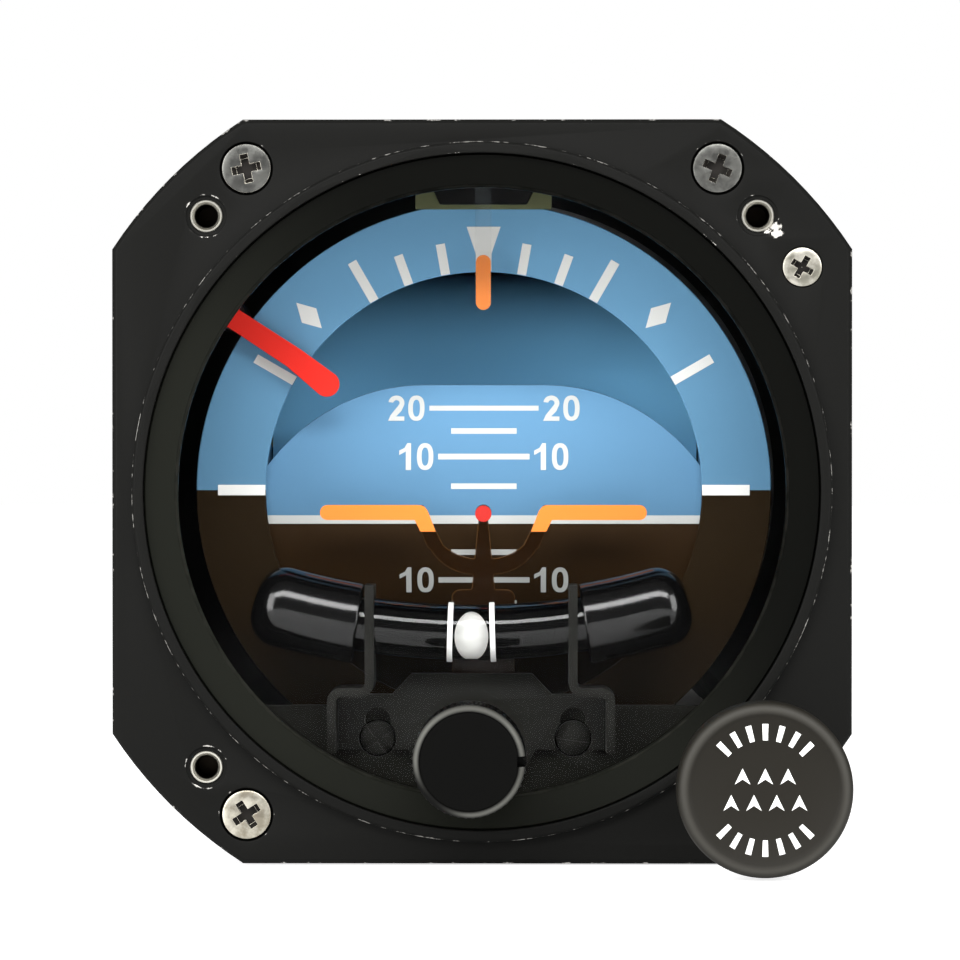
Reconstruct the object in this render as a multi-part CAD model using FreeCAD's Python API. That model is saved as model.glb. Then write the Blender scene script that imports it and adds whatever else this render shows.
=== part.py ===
"""Panel-mounted electric attitude indicator, 3-1/8 in class, with slip ball and pull-to-erect knob.

Millimetres. +Z is up, +X is the pilot's right and +Y points away from the pilot, into the panel.
The origin is on the case axis, in the rear face of the mounting flange.
"""
import FreeCAD, Part
import math
import os

V = FreeCAD.Vector
AXIS_X = V(1, 0, 0)
AXIS_Y = V(0, 1, 0)
AXIS_Z = V(0, 0, 1)

# ---------------------------------------------------------------- driving dimensions
# Fits
SLIP = 0.03               # radial clearance of a shaft that turns or slides in its bush
GAP = 0.1                 # clearance of parts that drop in by hand
SWING = 0.3               # least air between parts that move past each other

# Bezel casting and mounting flange
BEZEL_WIDTH = 84.4
BEZEL_HEIGHT = 84.9
CORNER_R = 50.45          # the four cut corners are arcs about the case axis
BEZEL_T = 5.8
BEZEL_EDGE = 0.5          # bevel round the front edge
CASE_FLANGE_T = 2.0
FLANGE_INSET = 0.3        # the case flange stands this far inside the bezel's outline
LIP_OUT_R = 39.9          # register that enters the panel cut-out
LIP_IN_R = 38.6
LIP_T = 1.2
LIP_EDGE = 0.3
LEDGE_R = 35.3            # opening behind the glass
LEDGE_T = 1.6

# Window stack, from the ledge forward
GASKET_T = 0.8
GLASS_T = 2.0
RING_T = 1.8
RING_IN_R = 34.7
RING_BEVEL = 0.45

# Mounting inserts on the 3.5 in bolt circle
MOUNT_PITCH = 62.86
INSERT_BORE_R = 1.35
INSERT_R = 1.86
INSERT_LEN = 5.6
INSERT_SINK_R = 2.3
INSERT_SINK_T = 0.25

# Bezel screws
SCREW_X = 26.85
SCREW_Z = 36.85
SCREW_HEAD_R = 2.6
SCREW_POCKET_R = 3.05
SCREW_HEAD_T = 1.6
SCREW_SHANK_R = 1.45
SMALL_SCREW_X = 36.5
SMALL_SCREW_Z = 25.6
SMALL_HEAD_R = 2.24
SMALL_SHANK_R = 1.1
RECESS_SHARE = 0.62       # span of a cross recess as a share of its head
RECESS_SLOT = 0.62
RECESS_DEPTH = 0.9

# Case can
CASE_R = 39.7
CASE_WALL = 1.2
COVER_T = 2.5
COVER_SCREW_R = 34.5      # radius of the cover's screw circle
COVER_BOSS_R = 4.4
COVER_BOSS_LEN = 11.0
COVER_HEAD_R = 2.2
COVER_HEAD_T = 1.5
COVER_SHANK_R = 1.3

# Rear connector
PLUG_FLANGE = 23.0
PLUG_FLANGE_T = 2.0
PLUG_OUT_R = 8.2
PLUG_IN_R = 7.0
PLUG_LEN = 15.5
PLUG_BASE_T = 5.0
PIN_R = 0.75
PIN_LEN = 5.5
PIN_RING_R = 4.2
PIN_COUNT = 6

# Pull knob and its rod, in the fourth corner
PULL_X = 31.4
PULL_Z = -32.6
PULL_TRAVEL = 5.0
PULL_FACE_Y = -27.8
PULL_R = 9.72
PULL_HEAD_T = 6.2
PULL_NECK_R = 4.6
PULL_NECK_T = 6.0
PULL_EDGE = 1.2            # rounding of the mushroom head's rear edge
PULL_RIM = 1.1            # width of the raised rim round the knob's face
PULL_DISH = 0.45          # depth of the face below that rim
ROD_R = 1.9
ROD_END_Y = 28.6
COLLAR_R = 3.6
COLLAR_T = 2.0
BUSH_R = 2.8
BUSH_PROUD = 0.8
BOSS_R = 5.0
BOSS_BORE_R = 3.9
BOSS_LEN = 31.0
SPRING_IN_R = 2.3
SPRING_CORE_R = 2.6
SPRING_OUT_R = 3.3
SPRING_TURNS = 10

# Caging arm and the crown on the roll frame that it presses on
ARM_T = 2.0
ARM_W = 2.6
ARM_TIP_R = 33.0          # how near the case axis the finger reaches
ARM_STEP_R = 36.2         # the forward prong runs outside this radius
ARM_STEP_W = 1.7
ARM_SLOT_W = 3.6
CAGE_Y = 18.7             # front of the finger at rest
CROWN_OUT_R = 33.7
CROWN_WALL = 1.5
CROWN_LOW = 0.5
CROWN_HIGH = 1.7

# Dial frame
FRAME_R = 38.3
FRAME_IN_R = 36.6
FRAME_REAR_Y = 7.6

# Mask plate and inclinometer bracket
MASK_TOP_Z = -25.1
MASK_T = 1.5
BRACKET_T = 1.04
BRACKET_Y = 4.6
BRACKET_FRONT_Y = -2.0
LEG_X = 11.75             # from the inclinometer's centre line
LEG_TOP_Z = -10.85
STEP_Z = -22.7
STEP_X = 16.1
LEG_END_Z = -30.2
BRACKET_TOP_Z = -21.3
BRACKET_TOP_X = 7.0
BRACKET_SLANT_X = 9.3
BEND_R = 0.55
BRACKET_TAB_X = 5.4
BRACKET_TAB_Z = -34.4
EYE_X = 11.4
EYE_OFFSET = 0.4
EYE_Z = -28.9
EYE_R = 2.2
EYE_LOBE_R = 1.5
EYE_LOBE_UP = 2.1
MASK_HEAD_R = 1.75
MASK_SHANK_R = 1.0
MASK_HEAD_T = 0.8
RAIL_W = 1.2
RAIL_REACH = 2.0
LUG_HALF_ANGLE = 5.0

# Inclinometer
SLIP_X = -1.3             # its centre line stands left of the case axis
TUBE_ARC_R = 83.0
TUBE_LOW_Z = -16.4
TUBE_Y = 1.5
TUBE_R = 3.2
TUBE_BORE_R = 2.3
BALL_R = 1.95
CAP_R = 4.72
CAP_START = 13.1
CAP_END = 25.1
WIRE_X = 2.45
WIRE_W = 0.6
WIRE_T = 0.25

# Airplane adjust knob
KNOB_X = -1.3
KNOB_Z = -30.0
KNOB_R = 6.4
KNOB_FRONT_Y = -20.0
KNOB_REAR_Y = -9.8
KNOB_BEVEL = 0.7
KNOB_DISH = 0.3
KNURLS = 48
KNURL_DEPTH = 0.22
SHAFT_R = 1.6
SHAFT_END_Y = 10.0
SLEEVE_R = 2.6
SLEEVE_FLANGE_R = 3.5
SLEEVE_FLANGE_T = 0.9

# Rack and pinion that lift the airplane
RACK_MODULE = 0.4
PINION_TEETH = 12
RACK_TEETH = 12
RACK_LOW_Z = -33.8
RACK_ANGLE = 25.0
RACK_BACK = 2.9
RACK_BACKLASH = 0.08
RACK_FOOT = 1.8           # height of the rack's foot on the airplane's tongue

# Miniature airplane
PLANE_Y = 7.5
PLANE_T = 1.0
WING_Z = -2.6
WING_T = 1.76
WING_TIP_X = 19.15
WING_ROOT_X = 7.45
ARM_LOW_X = 5.6
ARM_LOW_Z = -6.4
SADDLE_Z = -8.9
STEM_TOP_W = 1.0
STEM_LOW_W = 2.8
DOT_R = 0.96
TONGUE_TOP_Z = -11.9
TONGUE_X = 3.7
TONGUE_CORNER = 1.0
TONGUE_END_Z = -25.8

# Roll pointer, its block and the lamp board
POINTER_W = 1.9
POINTER_T = 1.0
POINTER_TIP_Z = 21.1
POINTER_TOP_Z = 36.1
BLOCK_T = 1.4
BLOCK_TOP_X = 7.0
BLOCK_LOW_X = 5.1
BLOCK_TOP_Z = 37.5
BLOCK_LOW_Z = 33.5
LAMP_X = 8.0
LAMP_T = 1.0
LAMP_TOP_Z = 37.1
LAMP_LOW_Z = 33.0

# Warning flag
FLAG_X = -30.0
FLAG_Z = 20.6
FLAG_T = 0.6
FLAG_Y = 8.4
FLAG_SLOPE = 33.0         # degrees below horizontal, pointing inwards
FLAG_W = 2.45
FLAG_PADDLE_W = 3.0
FLAG_ARM = 11.3
FLAG_PADDLE = 4.3
FLAG_BEND = 10.0
FLAG_HUB_R = 1.5
FLAG_PIN_R = 0.6
METER_R = 1.9
METER_Y = 9.9
METER_LEN = 12.0

# Roll ring
DIAL_Y = 10.5
DIAL_T = 1.2
DIAL_OUT_R = 33.85
DIAL_IN_R = 25.7

# Roll yoke
YOKE_RING_OUT_R = 31.9
YOKE_RING_IN_R = 28.8
YOKE_RING_T = 1.8
ARM_IN_X = 28.2
ARM_OUT_X = 31.2
ARM_FRONT_Z = 7.5
ARM_WAIST_Z = 6.5
ARM_BASE_Z = 9.0
YOKE_BASE_Y = 84.0
YOKE_BASE_T = 4.0
YOKE_BASE_R = 32.0
HUB_R = 8.0
SPINDLE_R = 4.0
SPINDLE_TAIL = 5.0        # how far the spindle runs past its rear bearing
SPINDLE_COLLAR_R = 5.5
HUB_PROUD = 3.0
SPOKE_HOLES = 6
SPOKE_HOLE_R = 5.2
SPOKE_CIRCLE_R = 19.5
TRIM_X = 23.4             # place of the roll balance weights
TRIM_R = 2.1
TRIM_T = 3.2
TRIM_Z = 13.0

# Pitch drum
DRUM_Y = 40.1
CARD_R = 27.6
CARD_T = 0.6
CARD_X = 25.8
CARD_TOP = 15.43          # height of the flat crest above the horizon line
CARD_FLAT_X = 7.3
CARD_CURVE_R = 22.86
CHEEK_T = 1.0
CHEEK_HALF_ANGLE = 13.0
CHEEK_HUB_R = 4.5
HORIZON_DROP = 7.3        # degrees that the drum rests nose-up
STUB_R = 1.5
DRUM_WEIGHT_R = 13.04
DRUM_WEIGHT_IN_R = 4.2
DRUM_WEIGHT_ANGLE = 80.0

# Fixed sky and ground shell
SKY_RADIUS_Y = 20.0
SKY_RADIUS_Z = 26.4
SKY_X = 24.2
SKY_T = 1.0

# Gears between pitch gimbal and drum
GEAR_MODULE = 0.5
DRUM_TEETH = 28
GIMBAL_TEETH = 42
SECTOR_TEETH = 17
SECTOR_HUB_R = 3.6
SECTOR_HUB_T = 3.0
GEAR_ANGLE = 20.0
GEAR_BACKLASH = 0.1
GEAR_X = 26.6
GEAR_T = 1.3

# Pitch gimbal and gyro
HOUSING_R = 17.6
HOUSING_WALL = 1.4
HOUSING_Z = 12.0
HOUSING_SPLIT_Z = 5.6
HOUSING_ROUND = 2.4
PIVOT_BOSS_R = 5.0
PIVOT_BOSS_X = 19.0
PIVOT_R = 2.0
PIVOT_START_X = 16.6
PIVOT_BEARING_R = 3.8
ROTOR_R = 15.5
ROTOR_BORE_R = 9.5
ROTOR_TOP_Z = 7.0
ROTOR_LOW_Z = -8.6
ROTOR_WEB_Z = 2.0
ROTOR_EDGE = 0.8
ROTOR_SHAFT_R = 1.5
SPIN_BEARING_R = 4.5
SPIN_BEARING_T = 3.0
PEDESTAL_R = 5.6
STATOR_R = 8.9
STATOR_Z = 0.3
STATOR_LOW_Z = -7.2
STATOR_SLOTS = 8

# Rear bearing carrier
BULKHEAD_GAP = 10.0       # from the yoke's base to the bulkhead
BULKHEAD_T = 3.0
BULKHEAD_HOLE_R = 6.0
BULKHEAD_HUB_R = 11.0
ROLL_BEARING_R = 8.0
ROLL_BEARING_T = 5.0
BEARING_GAP = 4.0         # from the slip rings to the rear bearing
BRUSH_DRUM_R = 6.0
BRUSH_GAP = 5.0           # from the front bearing to the slip rings
BRUSH_LEN = 16.0
BRUSH_RINGS = 5
BRUSH_GROOVE = 0.5        # depth of the tracks
BRUSH_BLOCK_W = 10.0
BRUSH_W = 0.8
BOARD_GAP = 15.0          # from the rear bearing to the board
BOARD_SPACE = 22.4        # from the board to the rear cover
BOARD_T = 1.6
BOARD_R = 35.5
POST_R = 2.5
POST_CIRCLE_R = 28.0
POST_COUNT = 3

# Larger parts on the board: (x, z, width, height, how far they stand out)
BOARD_BLOCKS = [(-10.0, 14.0, 12.0, 12.0, 6.0), (12.0, 10.0, 16.0, 8.0, 3.0), (-14.0, -8.0, 12.0, 8.0, 3.0)]
# Capacitors: (x, z, radius, length)
BOARD_CANS = [(12.0, -12.0, 5.0, 11.0), (-2.0, -22.0, 4.0, 9.0)]

# ---------------------------------------------------------------- positions worked out from them
BEZEL_FRONT_Y = -CASE_FLANGE_T - BEZEL_T
LIP_FRONT_Y = BEZEL_FRONT_Y - LIP_T
LEDGE_FRONT_Y = -CASE_FLANGE_T - LEDGE_T
GLASS_REAR_Y = LEDGE_FRONT_Y - GASKET_T
GLASS_FRONT_Y = GLASS_REAR_Y - GLASS_T
RING_FRONT_Y = GLASS_FRONT_Y - RING_T
MOUNT_XZ = MOUNT_PITCH / 2
CASE_IN_R = CASE_R - CASE_WALL
BULKHEAD_Y = YOKE_BASE_Y + YOKE_BASE_T + BULKHEAD_GAP
BRUSH_Y = BULKHEAD_Y + ROLL_BEARING_T + BRUSH_GAP
REAR_BEARING_Y = BRUSH_Y + BRUSH_LEN + BEARING_GAP
BEARING_END_Y = REAR_BEARING_Y + ROLL_BEARING_T
SPINDLE_END_Y = BEARING_END_Y + SPINDLE_TAIL
BOARD_Y = BEARING_END_Y + BOARD_GAP
CASE_LEN = BOARD_Y + BOARD_T + BOARD_SPACE
COVER_REAR_Y = CASE_LEN + COVER_T
MASK_Y = BRACKET_Y + BRACKET_T
MASK_REAR_Y = MASK_Y + MASK_T
PULL_AXIS_R = math.hypot(PULL_X, PULL_Z)
PULL_ANGLE = math.degrees(math.atan2(PULL_Z, PULL_X))
COLLAR_Y = CAGE_Y + 3.3
DIAL_REAR_Y = DIAL_Y + DIAL_T
TUBE_CENTRE_Z = TUBE_LOW_Z + TUBE_ARC_R
PINION_PITCH_R = RACK_MODULE * PINION_TEETH / 2
DRUM_PITCH_R = GEAR_MODULE * DRUM_TEETH / 2
GIMBAL_PITCH_R = GEAR_MODULE * GIMBAL_TEETH / 2
GIMBAL_Y = DRUM_Y + DRUM_PITCH_R + GIMBAL_PITCH_R
CARD_IN_R = CARD_R - CARD_T


# ---------------------------------------------------------------- plain shapes
def disc(radius, y0, y1, x=0.0, z=0.0):
    """Cylinder along +Y."""
    return Part.makeCylinder(radius, y1 - y0, V(x, y0, z), AXIS_Y)


def tube(out_r, in_r, y0, y1, x=0.0, z=0.0):
    return disc(out_r, y0, y1, x, z).cut(disc(in_r, y0, y1, x, z))


def bar_x(radius, x0, x1, y, z=0.0):
    """Cylinder along +X."""
    return Part.makeCylinder(radius, x1 - x0, V(x0, y, z), AXIS_X)


def tube_x(out_r, in_r, x0, x1, y, z=0.0):
    return bar_x(out_r, x0, x1, y, z).cut(bar_x(in_r, x0, x1, y, z))


def bar_z(radius, z0, z1, x=0.0, y=GIMBAL_Y):
    """Cylinder along +Z."""
    return Part.makeCylinder(radius, z1 - z0, V(x, y, z0), AXIS_Z)


def block(x0, x1, y0, y1, z0, z1):
    return Part.makeBox(x1 - x0, y1 - y0, z1 - z0, V(x0, y0, z0))


def prism_y(points, y0, y1):
    """Extrude a closed (x, z) outline from y0 to y1."""
    ring = [V(x, y0, z) for x, z in points]
    return Part.Face(Part.makePolygon(ring + ring[:1])).extrude(V(0, y1 - y0, 0))


def prism_x(points, x0, x1):
    """Extrude a closed (y, z) outline from x0 to x1."""
    ring = [V(x0, y, z) for y, z in points]
    return Part.Face(Part.makePolygon(ring + ring[:1])).extrude(V(x1 - x0, 0, 0))


def lathe(profile, base, axis, out):
    """Turn a closed (along, radius) profile about an axis; out is the direction of its radius."""
    ring = [base + axis * along + out * radius for along, radius in profile]
    return Part.Face(Part.makePolygon(ring + ring[:1])).revolve(base, axis, 360)


def lathe_y(profile, x=0.0, z=0.0):
    """Turn a closed (y, radius) profile about an axis along Y."""
    return lathe(profile, V(x, 0, z), AXIS_Y, AXIS_X)


def lathe_z(profile):
    """Turn a closed (z, radius) profile about the gyro's spin axis."""
    return lathe(profile, V(0, GIMBAL_Y, 0), AXIS_Z, AXIS_X)


def sector(in_r, out_r, from_deg, to_deg, centre, right, up, depth):
    """Ring sector with angles from right towards up, extruded by the vector depth."""
    def at(radius, degrees):
        turn = math.radians(degrees)
        return centre + right * (radius * math.cos(turn)) + up * (radius * math.sin(turn))

    middle = (from_deg + to_deg) / 2
    outer = Part.Arc(at(out_r, from_deg), at(out_r, middle), at(out_r, to_deg)).toShape()
    inner = Part.Arc(at(in_r, to_deg), at(in_r, middle), at(in_r, from_deg)).toShape()
    first = Part.makeLine(at(in_r, from_deg), at(out_r, from_deg))
    last = Part.makeLine(at(out_r, to_deg), at(in_r, to_deg))
    return Part.Face(Part.Wire([first, outer, last, inner])).extrude(depth)


def sector_y(in_r, out_r, from_deg, to_deg, y0, y1):
    """Ring sector about the case axis, angles from +X towards +Z."""
    return sector(in_r, out_r, from_deg, to_deg, V(0, y0, 0), AXIS_X, AXIS_Z, V(0, y1 - y0, 0))


def sector_x(in_r, out_r, from_deg, to_deg, x0, x1, y):
    """Ring sector about an axis along X, angles from the pilot's side (-Y) towards +Z."""
    return sector(in_r, out_r, from_deg, to_deg, V(x0, y, 0), -AXIS_Y, AXIS_Z, V(x1 - x0, 0, 0))


def joined(*shapes):
    return shapes[0].fuse(list(shapes[1:])).removeSplitter()


def without(shape, *cutters):
    return shape.cut(list(cutters))


def swung(shape, degrees, x=0.0, z=0.0):
    """Turn a copy about an axis along Y, from +X towards +Z."""
    copy = shape.copy()
    copy.rotate(V(x, 0, z), AXIS_Y, -degrees)
    return copy


def pitched(shape, degrees, y):
    """Turn a copy about an axis along X, so that its front drops."""
    copy = shape.copy()
    copy.rotate(V(0, y, 0), AXIS_X, degrees)
    return copy


def flipped(shape):
    """Mirror image across the plane x = 0."""
    return shape.mirror(V(0, 0, 0), AXIS_X)


def polar(radius, degrees):
    """Point (x, z) at a radius and an angle from +X towards +Z."""
    return radius * math.cos(math.radians(degrees)), radius * math.sin(math.radians(degrees))


def edges_along_y(shape, spots):
    """Edges parallel to Y that pass through any of the (x, z) spots."""
    found = []
    for edge in shape.Edges:
        ends = [v.Point for v in edge.Vertexes]
        if len(ends) != 2 or abs(ends[0].x - ends[1].x) + abs(ends[0].z - ends[1].z) > 1e-4:
            continue
        if any(math.hypot(ends[0].x - x, ends[0].z - z) < 1e-3 for x, z in spots):
            found.append(edge)
    return found


# ---------------------------------------------------------------- teeth
def involute(angle):
    return math.tan(angle) - angle


def tooth_flank(teeth, module, degrees, backlash, steps=4):
    """Half of one gear tooth as (radius, half-angle) from root to tip."""
    pitch_r = module * teeth / 2
    pressure = math.radians(degrees)
    base_r = pitch_r * math.cos(pressure)
    root_r = pitch_r - 1.25 * module
    tip_r = pitch_r + module
    half = math.pi / (2 * teeth) - backlash / (2 * pitch_r)
    start_r = max(base_r, root_r)
    flank = []
    for step in range(steps + 1):
        radius = start_r + (tip_r - start_r) * step / steps
        here = math.acos(min(1.0, base_r / radius))
        flank.append((radius, half + involute(pressure) - involute(here)))
    if root_r < base_r:
        flank.insert(0, (root_r, flank[0][1]))
    return flank


def toothed_outline(teeth, module, degrees, backlash, first, count):
    """(radius, angle) points over count teeth, the tooth numbered 0 centred on angle 0."""
    flank = tooth_flank(teeth, module, degrees, backlash)
    points = []
    for number in range(first, first + count):
        centre = 2 * math.pi * number / teeth
        points += [(radius, centre - half) for radius, half in flank]
        points += [(radius, centre + half) for radius, half in reversed(flank)]
    return points


# ---------------------------------------------------------------- bezel and window
def outline_plate(y0, y1, inset=0.0):
    """The bezel's outline: a rectangle whose corners are cut by a circle about the axis."""
    half_w = BEZEL_WIDTH / 2 - inset
    half_h = BEZEL_HEIGHT / 2 - inset
    return block(-half_w, half_w, y0, y1, -half_h, half_h).common(disc(CORNER_R - inset, y0, y1))


def screw_spots():
    return [(sx * SCREW_X, sz * SCREW_Z) for sx in (-1, 1) for sz in (-1, 1)]


def insert_spots():
    return [(-MOUNT_XZ, MOUNT_XZ), (MOUNT_XZ, MOUNT_XZ), (-MOUNT_XZ, -MOUNT_XZ)]


def make_bezel():
    plate = outline_plate(BEZEL_FRONT_Y, -CASE_FLANGE_T)
    rim = [e for e in plate.Edges if all(abs(v.Point.y - BEZEL_FRONT_Y) < 1e-4 for v in e.Vertexes)]
    plate = plate.makeChamfer(BEZEL_EDGE, rim)
    lip = lathe_y([
        (LIP_FRONT_Y, LIP_IN_R),
        (LIP_FRONT_Y, LIP_OUT_R - LIP_EDGE),
        (LIP_FRONT_Y + LIP_EDGE, LIP_OUT_R),
        (LEDGE_FRONT_Y, LIP_OUT_R),
        (LEDGE_FRONT_Y, LIP_IN_R),
    ])
    holes = [disc(LIP_IN_R, LIP_FRONT_Y, LEDGE_FRONT_Y), disc(LEDGE_R, LEDGE_FRONT_Y, 0)]
    for x, z in screw_spots():
        holes.append(disc(SCREW_POCKET_R, BEZEL_FRONT_Y, head_seat_y(), x, z))
        holes.append(disc(SCREW_SHANK_R + GAP, head_seat_y(), 0, x, z))
    holes.append(disc(SMALL_HEAD_R + GAP, BEZEL_FRONT_Y, head_seat_y(), SMALL_SCREW_X, SMALL_SCREW_Z))
    holes.append(disc(SMALL_SHANK_R + GAP, head_seat_y(), 0, SMALL_SCREW_X, SMALL_SCREW_Z))
    for x, z in insert_spots():
        holes.append(disc(INSERT_R, BEZEL_FRONT_Y, 0, x, z))
        holes.append(disc(INSERT_SINK_R, BEZEL_FRONT_Y, BEZEL_FRONT_Y + INSERT_SINK_T, x, z))
    holes.append(disc(BUSH_R, BEZEL_FRONT_Y, 0, PULL_X, PULL_Z))
    return without(plate.fuse(lip), *holes)


def head_seat_y():
    """Plane under the bezel screws' heads, which sit just below the face."""
    return BEZEL_FRONT_Y + SCREW_HEAD_T + GAP


def bezel_screw(x, z, head_r, shank_r):
    seat = head_seat_y()
    head = disc(head_r, seat - SCREW_HEAD_T, seat, x, z)
    shank = disc(shank_r, seat, -SWING, x, z)
    return joined(head, shank).cut(cross_recess(x, z, seat - SCREW_HEAD_T, head_r))


def cross_recess(x, z, y_front, head_r):
    """Cutter for a cross recess in a screw head that faces -Y."""
    reach = head_r * RECESS_SHARE
    half = RECESS_SLOT / 2
    upright = block(x - half, x + half, y_front, y_front + RECESS_DEPTH, z - reach, z + reach)
    across = block(x - reach, x + reach, y_front, y_front + RECESS_DEPTH, z - half, z + half)
    return upright.fuse(across)


def make_bezel_screws():
    return [bezel_screw(x, z, SCREW_HEAD_R, SCREW_SHANK_R) for x, z in screw_spots()]


def make_small_bezel_screw():
    return bezel_screw(SMALL_SCREW_X, SMALL_SCREW_Z, SMALL_HEAD_R, SMALL_SHANK_R)


def make_mounting_inserts():
    front = BEZEL_FRONT_Y + GAP / 2
    return [tube(INSERT_R, INSERT_BORE_R, front, front + INSERT_LEN, x, z) for x, z in insert_spots()]


def make_glass_gasket():
    return tube(LIP_IN_R - GAP, LEDGE_R + GAP, GLASS_REAR_Y, LEDGE_FRONT_Y)


def make_front_glass():
    return disc(LIP_IN_R - 2 * GAP, GLASS_FRONT_Y, GLASS_REAR_Y).cut(
        disc(SLEEVE_R + GAP, GLASS_FRONT_Y, GLASS_REAR_Y, KNOB_X, KNOB_Z))


def make_glass_retaining_ring():
    return lathe_y([
        (GLASS_FRONT_Y, RING_IN_R),
        (RING_FRONT_Y + RING_BEVEL, RING_IN_R),
        (RING_FRONT_Y, RING_IN_R + RING_BEVEL),
        (RING_FRONT_Y, LIP_IN_R - GAP),
        (GLASS_FRONT_Y, LIP_IN_R - GAP),
    ])


# ---------------------------------------------------------------- case
def cover_screw_spots():
    return [polar(COVER_SCREW_R, 45 + 90 * n) for n in range(4)]


def make_case_body():
    flange = outline_plate(-CASE_FLANGE_T, 0, FLANGE_INSET)
    can = disc(CASE_R, 0, CASE_LEN)
    boss = disc(BOSS_R, -CASE_FLANGE_T, BOSS_LEN, PULL_X, PULL_Z)
    web = swung(block(CASE_IN_R, PULL_AXIS_R, -CASE_FLANGE_T, BOSS_LEN, -BOSS_R + 1, BOSS_R - 1), PULL_ANGLE)
    shell = joined(flange, can, boss, web).cut(disc(CASE_IN_R, -CASE_FLANGE_T, CASE_LEN))
    posts = []
    for x, z in cover_screw_spots():
        posts.append(disc(COVER_BOSS_R, CASE_LEN - COVER_BOSS_LEN, CASE_LEN, x, z))
    shell = joined(shell, *[post.common(disc(CASE_R, 0, CASE_LEN)) for post in posts])
    holes = [disc(BOSS_BORE_R, -CASE_FLANGE_T, ROD_END_Y + 1, PULL_X, PULL_Z)]
    slot_front = COLLAR_Y + COLLAR_T - PULL_TRAVEL - 2 * SWING
    slot_rear = COLLAR_Y + COLLAR_T + ARM_T + 2 * SWING
    slot = block(CASE_IN_R - 1, PULL_AXIS_R, slot_front, slot_rear, -ARM_SLOT_W / 2, ARM_SLOT_W / 2)
    holes.append(swung(slot, PULL_ANGLE))
    for x, z in cover_screw_spots():
        holes.append(disc(COVER_SHANK_R, CASE_LEN - COVER_BOSS_LEN + 2, CASE_LEN, x, z))
    for x, z in screw_spots():
        holes.append(disc(SCREW_SHANK_R, -CASE_FLANGE_T, 0, x, z))
    holes.append(disc(SMALL_SHANK_R, -CASE_FLANGE_T, 0, SMALL_SCREW_X, SMALL_SCREW_Z))
    for x, z in insert_spots():
        holes.append(disc(INSERT_R + GAP, -CASE_FLANGE_T, 0, x, z))
    return without(shell, *holes)


def make_rear_cover():
    cover = disc(CASE_R, CASE_LEN, COVER_REAR_Y)
    rim = [e for e in cover.Edges if e.Length > 1 and all(v.Point.y > COVER_REAR_Y - 1e-4 for v in e.Vertexes)]
    cover = cover.makeFillet(COVER_T / 3, rim)
    holes = [disc(PLUG_IN_R, CASE_LEN, COVER_REAR_Y)]
    holes += [disc(COVER_SHANK_R + GAP, CASE_LEN, COVER_REAR_Y, x, z) for x, z in cover_screw_spots()]
    return without(cover, *holes)


def make_rear_cover_screws():
    screws = []
    for x, z in cover_screw_spots():
        head = lathe_y([
            (COVER_REAR_Y, 0),
            (COVER_REAR_Y, COVER_HEAD_R),
            (COVER_REAR_Y + COVER_HEAD_T * 0.55, COVER_HEAD_R),
            (COVER_REAR_Y + COVER_HEAD_T, COVER_HEAD_R * 0.6),
            (COVER_REAR_Y + COVER_HEAD_T, 0),
        ], x, z)
        shank = disc(COVER_SHANK_R, CASE_LEN - COVER_BOSS_LEN + 3, COVER_REAR_Y, x, z)
        recess_y = COVER_REAR_Y + COVER_HEAD_T - RECESS_DEPTH
        screws.append(joined(head, shank).cut(cross_recess(x, z, recess_y, COVER_HEAD_R)))
    return screws


def make_connector_shell():
    half = PLUG_FLANGE / 2
    flange = block(-half, half, COVER_REAR_Y, COVER_REAR_Y + PLUG_FLANGE_T, -half, half)
    corners = edges_along_y(flange, [(sx * half, sz * half) for sx in (-1, 1) for sz in (-1, 1)])
    flange = flange.makeFillet(half / 5, corners)
    barrel = disc(PLUG_OUT_R, COVER_REAR_Y, COVER_REAR_Y + PLUG_LEN)
    shell = joined(flange, barrel).cut(disc(PLUG_IN_R, COVER_REAR_Y, COVER_REAR_Y + PLUG_LEN))
    return shell


def pin_spots():
    return [(0.0, 0.0)] + [polar(PIN_RING_R, 90 + 360 * n / PIN_COUNT) for n in range(PIN_COUNT)]


def make_connector_insert():
    body = disc(PLUG_IN_R, CASE_LEN, COVER_REAR_Y + PLUG_BASE_T)
    tip_y = COVER_REAR_Y + PLUG_BASE_T + PIN_LEN
    pins = [disc(PIN_R, COVER_REAR_Y, tip_y, x, z) for x, z in pin_spots()]
    return joined(body, *pins)


# ---------------------------------------------------------------- pull knob, rod and caging arm
def make_pull_knob_bushing():
    front = BEZEL_FRONT_Y - BUSH_PROUD
    return tube(BUSH_R, ROD_R + SLIP, front, -CASE_FLANGE_T, PULL_X, PULL_Z)


def make_pull_knob():
    back_y = PULL_FACE_Y + PULL_HEAD_T
    neck_y = back_y + PULL_NECK_T
    knob = lathe_y([
        (PULL_FACE_Y + PULL_DISH, 0),
        (PULL_FACE_Y + PULL_DISH, PULL_R - PULL_RIM - PULL_DISH),
        (PULL_FACE_Y, PULL_R - PULL_RIM),
        (PULL_FACE_Y + PULL_DISH, PULL_R - PULL_DISH / 2),
        (PULL_FACE_Y + PULL_RIM, PULL_R),
        (back_y - PULL_EDGE, PULL_R),
        (back_y, PULL_R - PULL_EDGE),
        (back_y, PULL_NECK_R + PULL_EDGE),
        (back_y + PULL_EDGE, PULL_NECK_R),
        (neck_y, PULL_NECK_R),
        (neck_y, 0),
    ], PULL_X, PULL_Z)
    return knob.cut(disc(ROD_R, back_y, neck_y, PULL_X, PULL_Z))


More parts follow.
